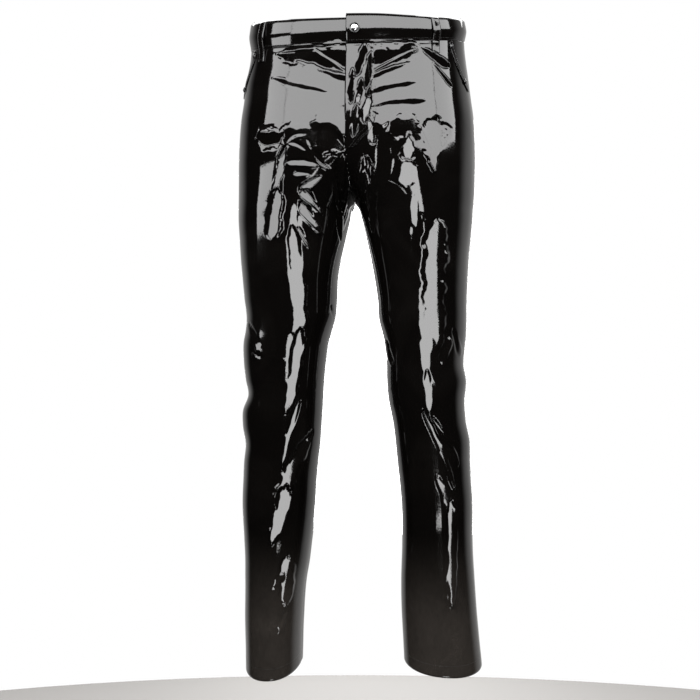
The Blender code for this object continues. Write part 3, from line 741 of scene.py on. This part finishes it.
# each grain is the scale, detail and roughness of a noise, and its swirl
latexLook = {
    "colour": (0.0012, 0.0010, 0.0009, 1.0),
    "worn": (0.0022, 0.0019, 0.0017, 1.0),
    "gloss": 0.035,
    "edgeGloss": 0.05,
    "smudge": 0.05,
    "mottle": 0.012,
    "wiped": (9.0, 4.0, 0.55, 0.6),
    "dull": (0.48, 0.72),
    "fine": (160.0, 3.0, 0.6),
    "skin": (420.0, 2.0, 0.5),
    "skinRelief": (0.35, 0.00008),
    "refraction": 1.52,
    # a brown-grey painted reflection of the floor on the lower legs, fading in between these two heights
    "paintedFloorReflection": (0.0200, 0.0172, 0.0150, 1.0),
    "paintedReflectionFrom": -0.80,
    "paintedReflectionTo": -0.98,
}


def latexFinish(name, gloss):
    finish = Finish(name)
    # polish wiped on by hand leaves it a little duller in soft patches
    wiped = finish.grain(*latexLook["wiped"])
    dull = finish.ramp(wiped, *latexLook["dull"])
    fine = finish.grain(*latexLook["fine"])
    skin = finish.grain(*latexLook["skin"])
    colour = finish.blend(dull, latexLook["colour"], latexLook["worn"])
    # towards the hems a brown-grey painted reflection of the floor is mixed into the base colour, in noisy
    # patches
    height = finish.add("ShaderNodeSeparateXYZ", values={"Vector": finish.place}, output=2)
    low = finish.fade(height, latexLook["paintedReflectionTo"], latexLook["paintedReflectionFrom"], 1.0, 0.0)
    paintedReflectionColour = finish.blend(low * (fine * 0.5 + wiped * 0.9), colour, latexLook["paintedFloorReflection"])
    return finish.shape(
        Base_Color=paintedReflectionColour, Roughness=gloss + dull * latexLook["smudge"] + fine * latexLook["mottle"],
        Normal=finish.bump(*latexLook["skinRelief"], skin + fine * 0.6),
        IOR=latexLook["refraction"], Specular_IOR_Level=0.5)


threadLook = {"colour": (0.012, 0.012, 0.012, 1.0), "rough": 0.38, "twist": 900.0, "relief": (0.6, 0.0002)}


def threadFinish(name):
    finish = Finish(name)
    twist = finish.add("ShaderNodeTexWave", {"wave_type": "BANDS"}, {
        "Vector": finish.place, "Scale": threadLook["twist"], "Distortion": 2.0})
    return finish.shape(
        Base_Color=threadLook["colour"], Roughness=threadLook["rough"] + twist * 0.12,
        Normal=finish.bump(*threadLook["relief"], twist))


metalLook = {"colour": (0.62, 0.62, 0.63, 1.0), "tarnish": (0.42, 0.42, 0.43, 1.0), "rough": 0.12}
darkMetalLook = {"colour": (0.07, 0.07, 0.07, 1.0), "tarnish": (0.03, 0.03, 0.03, 1.0), "rough": 0.18}
metalGrain = {"cloud": (240.0, 4.0, 0.6), "hair": (1400.0, 2.0, 0.5), "relief": (0.4, 0.00005)}


def metalFinish(name, look):
    finish = Finish(name)
    cloud = finish.grain(*metalGrain["cloud"])
    hair = finish.grain(*metalGrain["hair"])
    return finish.shape(
        Base_Color=finish.blend(cloud * 0.7, look["colour"], look["tarnish"]), Metallic=1.0,
        Roughness=look["rough"] + cloud * 0.14, Normal=finish.bump(*metalGrain["relief"], hair))


latex = latexFinish("blackLatex", latexLook["gloss"])
latexEdge = latexFinish("blackLatexEdges", latexLook["edgeGloss"])
thread = threadFinish("blackThread")
metal = metalFinish("satinNickel", metalLook)
darkMetal = metalFinish("darkNickel", darkMetalLook)
print("finishes made")

# panels
hands = ((1, "left"), (-1, "right"))        # the wearer's
panel = {
    "wall": 0.0015,
    "front": {"torsoRows": 240, "thighRows": 120, "legRows": 200, "columns": 168, "lean": 0.80},
    "back": {"torsoRows": 120, "thighRows": 80, "legRows": 200, "columns": 96, "lean": 1.0},
    "thighFoot": -0.45,
    "every": 8,             # the inner face has one row or column for so many outer ones
    "cutWidth": 0.315,
    "cutLength": 1.03,
    "cutArea": {"front": 0.238, "back": 0.245},
}


def panelGrid(side, face):
    facts = panel[face]
    top = cut["bandFoot"] - gap
    torso = np.linspace(top, cut["crotch"], facts["torsoRows"] + 1)
    thigh = np.linspace(cut["crotch"], panel["thighFoot"], facts["thighRows"] + 1)[1:]
    leg = np.linspace(panel["thighFoot"], cut["hem"], facts["legRows"] + 1)[1:]
    heights = np.concatenate([torso, thigh, leg])
    shares = np.linspace(0.0, 1.0, facts["columns"] + 1) ** facts["lean"]
    return np.meshgrid(heights, shares, indexing="ij")


def seamGaps(side, face, points, heights):
    forward = -1.0 if face == "front" else 1.0
    points[:, 0, 1] += forward * gap / 2
    inseam = heights[:, 0] <= cut["crotch"] + 1e-9
    points[inseam, -1, 1] += forward * gap / 2
    points[..., 0] = side * np.maximum(side * points[..., 0], gap / 2)
    return points


def makePanel(side, face, hand):
    heights, shares = panelGrid(side, face)
    base, normal, move = clothSurface(side, face, shares, heights)
    outer = seamGaps(side, face, base + normal * move[..., None], heights)
    every = panel["every"]
    sunk = lowest(move, every)[::every, ::every] - panel["wall"]
    coarse = (slice(None, None, every), slice(None, None, every))
    inner = base[coarse] + normal[coarse] * sunk[..., None]
    inner = seamGaps(side, face, inner, heights[coarse])
    if (side > 0) != (face == "front"):
        outer, inner = outer[:, ::-1], inner[:, ::-1]
    piece = shellMesh(f"{face}Panel{hand.title()}", outer, inner, every)
    addPiece(piece, latex, [f"{face}_{hand}"])


for side, hand in hands:
    for face in ("front", "back"):
        makePanel(side, face, hand)
print("panels made")

# waistband
band = {
    "wall": 0.0022,
    "columns": 260,
    "rows": 26,
    "foot": 0.0002,
    "crown": 0.0050,
    "crownLevels": (-0.1, 0.56),
    "rollFrom": 0.86,
    "lap": 0.0380,
    "lapLift": 0.0032,
    "lapLiftFrom": 0.66,
    "lapRise": 0.0060,
    "lapRiseFrom": 0.40,
    "cutWidth": 0.043,
    "cutLength": {1: 0.455, -1: 0.50},
}


def bandOut(level):
    roll = cut["bandTopLean"] * smoothStep(level, band["rollFrom"], 1.0) ** 2
    return band["foot"] + band["crown"] * smoothStep(level, *band["crownLevels"]) - roll


def bandPoints(side, girth, level, out=0.0):
    girth, level = np.broadcast_arrays(np.asarray(girth, float), np.asarray(level, float))
    foot = girthPoints(side, girth, np.full_like(girth, cut["bandFoot"]), 0.0)
    around = np.where(np.abs(girth) > 1, 2 - np.abs(girth), np.abs(girth))
    across = np.sin(around * math.pi / 2)
    rise = np.where(girth > 0, waistLevel("front", across), waistLevel("back", across))
    top = cut["bandTop"] + rise
    if side > 0:
        top = top + band["lapRise"] * smoothStep(girth, band["lapRiseFrom"], 1.0)
    z = foot[..., 2] + (top - foot[..., 2]) * level
    height = cut["bandFoot"] + (cut["bandTop"] - cut["bandFoot"]) * level
    points = girthPoints(side, girth, height, bandOut(level) + out)
    points[..., 2] = z
    return points


def lapRaise(side, girth):
    lap = band["lap"] / cut["halfGirth"]
    if side < 0:
        return np.zeros_like(girth)
    return band["lapLift"] * smoothStep(girth, band["lapLiftFrom"], 1.0 - lap)


def makeBand(side, hand):
    lap = band["lap"] / cut["halfGirth"]
    last = 1.0 if side > 0 else 1.0 + lap
    girths = np.linspace(-1.0, last, band["columns"] + 1)
    levels = np.linspace(0.0, 1.0, band["rows"] + 1)
    level, girth = np.meshgrid(levels, girths, indexing="ij")
    points = bandPoints(side, girth, level, lapRaise(side, girth))
    points[:, 0, 0] = side * gap / 2
    if side > 0:
        points = points[:, ::-1]
    piece = gridMesh(f"waistband{hand.title()}", points, band["wall"])
    addPiece(piece, latexEdge, [f"waistband_{hand}"])


for side, hand in hands:
    makeBand(side, hand)
print("waistband made")

# fly
fly = {
    "wall": 0.0012,
    "width": 0.0360,
    "foot": -0.1990,
    "endWidth": 0.0070,
    "straight": 0.60,
    "rows": 190,
    "columns": 40,
    "cutWidth": 0.038,
    "cutLength": 0.182,
    "cutArea": 0.0060,
}


def flyShare(height):
    top, foot = cut["bandFoot"], fly["foot"]
    along = np.clip((top - height) / (top - foot), 0.0, 1.0)
    curve = np.clip((along - fly["straight"]) / (1 - fly["straight"]), 0.0, 1.0)
    width = fly["endWidth"] + (fly["width"] - fly["endWidth"]) * np.sqrt(1 - curve ** 2)
    return width / cut["halfGirth"]


def makeFly():
    heights = np.linspace(cut["bandFoot"] - gap, fly["foot"], fly["rows"] + 1)
    parts = np.linspace(0.0, 1.0, fly["columns"] + 1)
    height, part = np.meshgrid(heights, parts, indexing="ij")
    share = 1.0 - flyShare(height) * (1.0 - part)
    points = clothPoint(1, "front", share, height, gap + fly["wall"])
    points[..., 0] = np.maximum(points[..., 0], gap / 2)
    piece = gridMesh("flyPlacket", points, fly["wall"])
    addPiece(piece, latex, ["fly_placket"])


makeFly()
print("fly made")

# pocket mouths
pocket = {
    "wall": 0.0012,
    "width": 0.0100,
    "steps": 96,
    "across": 12,
    "softened": 9,          # steps over which the corners of its path are smoothed
    "out": 0.0012 + 1.5 * gap,
    "cutLength": 0.090,
    "path": [(0.285, -0.0245), (0.262, -0.0400), (0.232, -0.0550),
             (0.192, -0.0700), (0.140, -0.0840), (0.070, -0.0940)],
}


def pocketLine(aside):
    path = np.array(pocket["path"])
    at = np.linspace(0, len(path) - 1, pocket["steps"] + 1)
    share = np.interp(at, range(len(path)), path[:, 0])
    height = np.interp(at, range(len(path)), path[:, 1])
    soft = np.ones(pocket["softened"]) / pocket["softened"]
    kept = pocket["softened"] // 2
    for line in (share, height) * 2:
        line[kept:-kept] = np.convolve(line, soft, "valid")
    run = np.stack([np.gradient(share) * cut["halfGirth"], np.gradient(height)], axis=-1)
    run = run / np.linalg.norm(run, axis=1)[:, None]
    share = share - run[:, 1] * aside / cut["halfGirth"]
    height = np.minimum(height + run[:, 0] * aside, cut["bandFoot"] - 2 * gap)
    return share, height


def makePocket(side, hand):
    rows = [pocketLine(pocket["width"] * part)
            for part in np.linspace(0.0, 1.0, pocket["across"] + 1)]
    share = np.array([row[0] for row in rows]).T
    height = np.array([row[1] for row in rows]).T
    points = clothPoint(side, "front", share, height, pocket["out"])
    if side < 0:
        points = points[:, ::-1]
    piece = gridMesh(f"pocketMouth{hand.title()}", points, pocket["wall"])
    addPiece(piece, latexEdge, [f"pocket_mouth_{hand}"])


for side, hand in hands:
    makePocket(side, hand)
print("pocket mouths made")

# belt loops
loop = {
    "wall": 0.0016,
    "width": 0.0130,
    "top": 0.0165,
    "foot": -0.0440,
    "clearance": 0.0024,
    "crown": 0.0004,
    "blend": (-0.16, 0.02),     # levels by the waist seam where it passes from band to panel
    "probe": 0.012,             # share of the girth over which its width is measured
    "rows": 72,
    "across": 10,
    "cutLength": 0.066,
    "places": [("belt_loop_1", -1, 0.42), ("belt_loop_2", 1, 0.46), ("belt_loop_3", -1, -0.44),
               ("belt_loop_4", 1, -0.44), ("belt_loop_5", 1, -1.0)],
}


def loopPoints(side, middle, step, across, extra=0.0):
    probe = loop["probe"]
    ends = bandPoints(side, np.array([middle - probe, middle + probe]), np.array([0.5, 0.5]))
    half = loop["width"] * probe / np.linalg.norm(ends[1] - ends[0])
    step, across = np.meshgrid(step, across, indexing="ij")
    z = loop["top"] + (loop["foot"] - loop["top"]) * step
    level = (z - cut["bandFoot"]) / (cut["bandTop"] - cut["bandFoot"])
    bulge = loop["clearance"] * np.sin(math.pi * step) ** 2
    out = gap + loop["wall"] + bulge + extra + loop["crown"] * (1 - across ** 2)
    girth = middle + across * half
    onBand = bandPoints(side, girth, np.maximum(level, 0.0), out)
    below = girthPoints(side, girth, np.minimum(z, cut["bandFoot"]), out)
    mixed = smoothStep(level, *loop["blend"])[..., None]
    return below * (1 - mixed) + onBand * mixed


def makeLoop(node, side, middle):
    step = np.linspace(0.0, 1.0, loop["rows"] + 1)
    across = np.linspace(-1.0, 1.0, loop["across"] + 1)
    points = loopPoints(side, middle, step, across)
    if side < 0:
        points = points[:, ::-1]
    piece = gridMesh("beltLoop" + node[-1], points, loop["wall"])
    addPiece(piece, latexEdge, [node])


for node, side, middle in loop["places"]:
    makeLoop(node, side, middle)
print("belt loops made")

# button and rivets: each a turned profile of radius and height, foot first
buttonShape = {
    "share": 0.965,
    "level": 0.50,
    "sides": 40,
    "profile": [(0.0034, 0.0), (0.0034, 0.0010), (0.0076, 0.0012), (0.0084, 0.0017), (0.0086, 0.0023),
                (0.0083, 0.0029), (0.0076, 0.0031), (0.0066, 0.0024), (0.0058, 0.0022)],
}
capShape = {
    "sides": 40,
    "lift": 0.0023,
    "profile": [(0.0048, 0.0), (0.0056, 0.0002), (0.0057, 0.0006), (0.0054, 0.0012), (0.0044, 0.0019),
                (0.0030, 0.0023), (0.0015, 0.0025)],
}
rivetShape = {
    "sides": 24,
    "profile": [(0.0044, 0.0), (0.0045, 0.0004), (0.0041, 0.0009), (0.0034, 0.0012), (0.0026, 0.0012),
                (0.0021, 0.0017), (0.0012, 0.0021)],
    "places": [("rivet_1", -1, 0.296, -0.0330), ("rivet_2", 1, 0.296, -0.0330),
               ("rivet_3", -1, 0.150, -0.0880), ("rivet_4", 1, 0.150, -0.0880)],
}
sharpFrom = math.radians(42)


def turnedPiece(name, shape, place, outward):
    radius, foot = shape["profile"][0]
    bpy.ops.object.select_all(action="DESELECT")
    bpy.ops.mesh.primitive_circle_add(
        vertices=shape["sides"], radius=radius, fill_type="NGON", location=(0, 0, 0))
    piece = bpy.context.object
    piece.name = name
    piece.data.name = name
    bpy.ops.object.mode_set(mode="EDIT")
    bpy.ops.mesh.select_all(action="SELECT")
    for nextRadius, height in shape["profile"][1:]:
        bpy.ops.mesh.extrude_region_move(TRANSFORM_OT_translate={"value": (0, 0, height - foot)})
        grown = nextRadius / radius
        bpy.ops.transform.resize(value=(grown, grown, 1), center_override=(0, 0, 0))
        radius, foot = nextRadius, height
    bpy.ops.mesh.select_all(action="SELECT")
    bpy.ops.mesh.normals_make_consistent(inside=False)
    bpy.ops.object.mode_set(mode="OBJECT")
    piece.location = place
    piece.rotation_euler = Vector(outward).to_track_quat("Z", "Y").to_euler()
    bpy.ops.object.transform_apply(location=True, rotation=True, scale=True)
    bpy.ops.object.shade_smooth_by_angle(angle=sharpFrom)
    return piece


def frameAt(pointAt, share, level):
    step = 0.004
    across = pointAt(share + step, level) - pointAt(share - step, level)
    up = pointAt(share, level + step) - pointAt(share, level - step)
    outward = np.cross(across, up)
    outward = outward / np.linalg.norm(outward)
    return pointAt(share, level), outward * (-1 if outward[1] > 0 else 1)


def onLap(girth, level):
    girth, level = np.array([girth]), np.array([level])
    return bandPoints(1, girth, level, lapRaise(1, girth))[0]


def onFront(side):
    def pointAt(share, height):
        return clothPoint(side, "front", np.array([share]), np.array([height]), pocket["out"])[0]
    return pointAt


place, outward = frameAt(onLap, buttonShape["share"], buttonShape["level"])
button = turnedPiece("waistButton", buttonShape, place + outward * gap, outward)
addPiece(button, darkMetal, ["waist_button"])
cap = turnedPiece("waistButtonCap", capShape, place + outward * (gap + capShape["lift"]), outward)
addPiece(cap, metal)
for node, side, share, height in rivetShape["places"]:
    place, outward = frameAt(onFront(side), share, height)
    rivet = turnedPiece("rivet" + node[-1], rivetShape, place + outward * gap, outward)
    addPiece(rivet, darkMetal, [node])
print("button and rivets made")

# rows of black stitches, each a copy of one; a row is given on the cloth and a little above it
stitch = {"long": 0.0024, "pitch": 0.0036, "thick": 0.00055, "sunk": 0.00008, "probe": 0.001,
          "sides": 6, "rings": 5}
lifts = (0.0, stitch["probe"])
seams = {
    "bandLevels": (0.09, 0.90),
    "bandRun": {1: (-0.995, 0.992), -1: (-0.995, 0.975)},
    "bandSteps": 400,
    "flyInside": (0.0030, 0.0085),
    "flyEnds": 0.002,
    "flyMargin": 0.0015,
    "flySteps": 200,
    "pocketAside": (0.0022, 0.0078),
    "hemAbove": 0.018,
    "hemRun": (0.004, 0.996),
    "seatAside": 0.0035,
    "seatFrom": 0.004,
    "seatTo": 0.012,
    "longSteps": 160,
    "loopSides": (-0.62, 0.62),
    "loopSideRun": (0.07, 0.93, 40),
    "loopEnds": (0.045, 0.955),
    "loopEndRun": (-0.8, 0.8, 9),
}


def stitchAt(points, raised, along, at):
    def spotOn(line, value):
        return Vector([float(np.interp(value, along, line[:, axis])) for axis in range(3)])

    spot = spotOn(points, at)
    outward = (spotOn(raised, at) - spot).normalized()
    run = (spotOn(points, at + stitch["probe"]) - spotOn(points, at - stitch["probe"])).normalized()
    turned = Matrix((run, outward.cross(run).normalized(), outward)).transposed().to_4x4()
    return Matrix.Translation(spot - outward * stitch["sunk"]) @ turned


def sewRows(name, rows):
    bpy.ops.object.select_all(action="DESELECT")
    bpy.ops.mesh.primitive_uv_sphere_add(
        segments=stitch["sides"], ring_count=stitch["rings"], radius=1.0, location=(0, 0, 0))
    one = bpy.context.object
    bpy.ops.object.mode_set(mode="EDIT")
    bpy.ops.mesh.select_all(action="SELECT")
    bpy.ops.transform.rotate(value=math.pi / 2, orient_axis="Y", center_override=(0, 0, 0))
    bpy.ops.transform.resize(
        value=(stitch["long"] / 2, stitch["thick"] / 2, stitch["thick"] / 2), center_override=(0, 0, 0))
    bpy.ops.object.mode_set(mode="OBJECT")
    one.data.shade_smooth()
    copies = []
    for points, raised in rows:
        steps = np.linalg.norm(np.diff(points, axis=0), axis=1)
        along = np.concatenate([[0.0], np.cumsum(steps)])
        count = max(int(along[-1] / stitch["pitch"]), 1)
        for at in (np.arange(count) + 0.5) * along[-1] / count:
            copy = bpy.data.objects.new(name, one.data.copy())
            bpy.context.scene.collection.objects.link(copy)
            copy.matrix_world = stitchAt(points, raised, along, at)
            copies.append(copy)
    bpy.data.objects.remove(one)
    bpy.ops.object.select_all(action="DESELECT")
    for copy in copies:
        copy.select_set(True)
    bpy.context.view_layer.objects.active = copies[0]
    bpy.ops.object.join()
    piece = bpy.context.object
    bpy.ops.object.transform_apply(location=True, rotation=True, scale=True)
    piece.name = name
    piece.data.name = name
    addPiece(piece, thread)
    return len(copies)


def bandRow(side, level):
    girth = np.linspace(*seams["bandRun"][side], seams["bandSteps"])
    level = np.full_like(girth, level)
    return [bandPoints(side, girth, level, lapRaise(side, girth) + up) for up in lifts]


def flyRow(inside):
    ends = seams["flyEnds"]
    height = np.linspace(cut["bandFoot"] - ends, fly["foot"] + ends, seams["flySteps"])
    share = 1.0 - np.maximum(flyShare(height) - inside / cut["halfGirth"], 0.0)
    keep = share < 1.0 - seams["flyMargin"] / cut["halfGirth"]
    share, height = share[keep], height[keep]
    return [clothPoint(1, "front", share, height, gap + fly["wall"] + up) for up in lifts]


def pocketRow(side, aside):
    share, height = pocketLine(aside)
    return [clothPoint(side, "front", share[2:-2], height[2:-2], pocket["out"] + up) for up in lifts]


def hemRow(side, face, above):
    share = np.linspace(*seams["hemRun"], seams["longSteps"])
    height = np.full_like(share, cut["hem"] + above)
    return [clothPoint(side, face, share, height, up) for up in lifts]


def seatRow(side, aside):
    top, foot = cut["bandFoot"] - seams["seatFrom"], cut["crotch"] + seams["seatTo"]
    height = np.linspace(top, foot, seams["longSteps"])
    share = np.full_like(height, 1.0 - aside / cut["halfGirth"])
    return [clothPoint(side, "back", share, height, up) for up in lifts]


def loopRow(side, middle, step, across):
    step, across = np.atleast_1d(step), np.atleast_1d(across)
    return [loopPoints(side, middle, step, across, up).reshape(-1, 3) for up in lifts]


sideRun = np.linspace(*seams["loopSideRun"])
endRun = np.linspace(*seams["loopEndRun"])
loopRuns = [(sideRun, across) for across in seams["loopSides"]]
loopRuns += [(step, endRun) for step in seams["loopEnds"]]
sewn = sum(sewRows(name, rows) for name, rows in (
    ("bandStitches", [bandRow(side, level) for side, _ in hands for level in seams["bandLevels"]]),
    ("flyStitches", [flyRow(inside) for inside in seams["flyInside"]]),
    ("pocketStitches", [pocketRow(side, aside) for side, _ in hands for aside in seams["pocketAside"]]),
    ("hemStitches", [
        hemRow(side, face, seams["hemAbove"]) for side, _ in hands for face in ("front", "back")]),
    ("seatStitches", [seatRow(side, seams["seatAside"]) for side, _ in hands]),
    ("loopStitches", [
        loopRow(side, middle, *run) for _, side, middle in loop["places"] for run in loopRuns]),
))
print("sewn with", sewn, "stitches")

# camera and light
view = {"distance": 3.2, "aimZ": -0.5135, "aside": -0.0097, "span": 1.134}


def levelWay(turn):
    return Vector((math.sin(turn), -math.cos(turn), 0.0))


def standAt(name, data, place, back):
    thing = bpy.data.objects.new(name, data)
    thing.location = place
    thing.rotation_mode = "QUATERNION"
    thing.rotation_quaternion = (-back).to_track_quat("-Z", "Y")
    bpy.context.scene.collection.objects.link(thing)
    return thing


def makeCamera():
    back = levelWay(cut["turn"])
    right = Vector((math.cos(cut["turn"]), math.sin(cut["turn"]), 0.0))
    aim = right * view["aside"] + Vector((0.0, 0.0, view["aimZ"]))
    data = bpy.data.cameras.new("camera")
    data.sensor_width = 36.0
    data.lens = data.sensor_width * view["distance"] / view["span"]
    bpy.context.scene.camera = standAt("camera", data, aim + back * view["distance"], back)


# each light faces the trousers: turn is its direction from them, 0 in front and 90 to the right
Light = namedtuple("Light", "name turn away low high width glow")
lights = [
    Light("wideBank", 8, 2.0, 0.20, 3.4, 5.6, 7.6),
    Light("leftBank", -59.5, 2.09, 0.33, 1.20, 0.95, 7.4),
    Light("leftStrip", -59.5, 2.09, -0.36, -0.05, 0.95, 7.4),
    Light("rightBank", 79.5, 2.0, 0.22, 1.20, 1.2, 7.2),
    Light("tallStrip", 16, 1.5, -1.00, -0.25, 0.42, 10.0),
    Light("lowStrip", 14, 1.6, -2.5, -1.5, 0.5, 9.0),
    Light("backStrip", 186, 2.0, -1.0, 0.1, 0.8, 7.0),
    Light("backBank", 186, 2.4, 0.85, 2.6, 4.5, 5.0),
]


def makeLights():
    for light in lights:
        back = levelWay(math.radians(light.turn))
        data = bpy.data.lights.new(light.name, "AREA")
        data.shape = "RECTANGLE"
        data.size = light.width
        data.size_y = light.high - light.low
        data.energy = light.glow * math.pi * data.size * data.size_y
        middle = Vector((0, 0, (light.low + light.high) / 2))
        lamp = standAt(light.name, data, back * light.away + middle, back)
        lamp.visible_camera = False


# white to the camera; what the trousers mirror is dark in front and pale behind
studio = {"white": (1.0, 1.0, 1.0, 1.0), "tint": (1.0, 0.99, 0.98, 1.0), "dark": 0.012,
          "backdrop": 0.55, "from": 0.30, "to": 0.72}


def makeStudio():
    world = bpy.data.worlds.new("paleStudio")
    bpy.context.scene.world = world
    world.use_nodes = True
    world.node_tree.nodes.clear()
    nodes = Nodes(world.node_tree)
    output = world.node_tree.nodes.new("ShaderNodeOutputWorld")
    seen = nodes.add("ShaderNodeBackground", values={"Color": studio["white"], "Strength": 1.0})
    place = nodes.add("ShaderNodeTexCoord")
    behind = nodes.add("ShaderNodeSeparateXYZ", values={"Vector": place}, output=1)
    glow = nodes.fade(behind, studio["from"], studio["to"], studio["dark"], studio["backdrop"])
    around = nodes.add("ShaderNodeBackground", values={"Color": studio["tint"], "Strength": glow})
    toCameraRay = nodes.add("ShaderNodeLightPath")
    mixed = nodes.add("ShaderNodeMixShader", values={0: toCameraRay, 1: around, 2: seen})
    nodes.feed(output.inputs["Surface"], mixed)


# the floor is left out of the reflections, where it would fill the dark crotch
floor = {"z": -1.32, "radius": 1.7, "colour": (0.30, 0.29, 0.28, 1.0), "rough": 0.8, "sides": 96}


def makeFloor():
    bpy.ops.object.select_all(action="DESELECT")
    bpy.ops.mesh.primitive_circle_add(
        vertices=floor["sides"], radius=floor["radius"], fill_type="NGON", location=(0, 0, floor["z"]))
    piece = bpy.context.object
    piece.name = "paleFloor"
    finish = Finish("paleFloor")
    piece.data.materials.append(finish.shape(Base_Color=floor["colour"], Roughness=floor["rough"]))
    piece.visible_glossy = False


makeCamera()
makeLights()
makeStudio()
makeFloor()
bpy.context.scene.view_settings.view_transform = "Standard"
print("camera and light made")
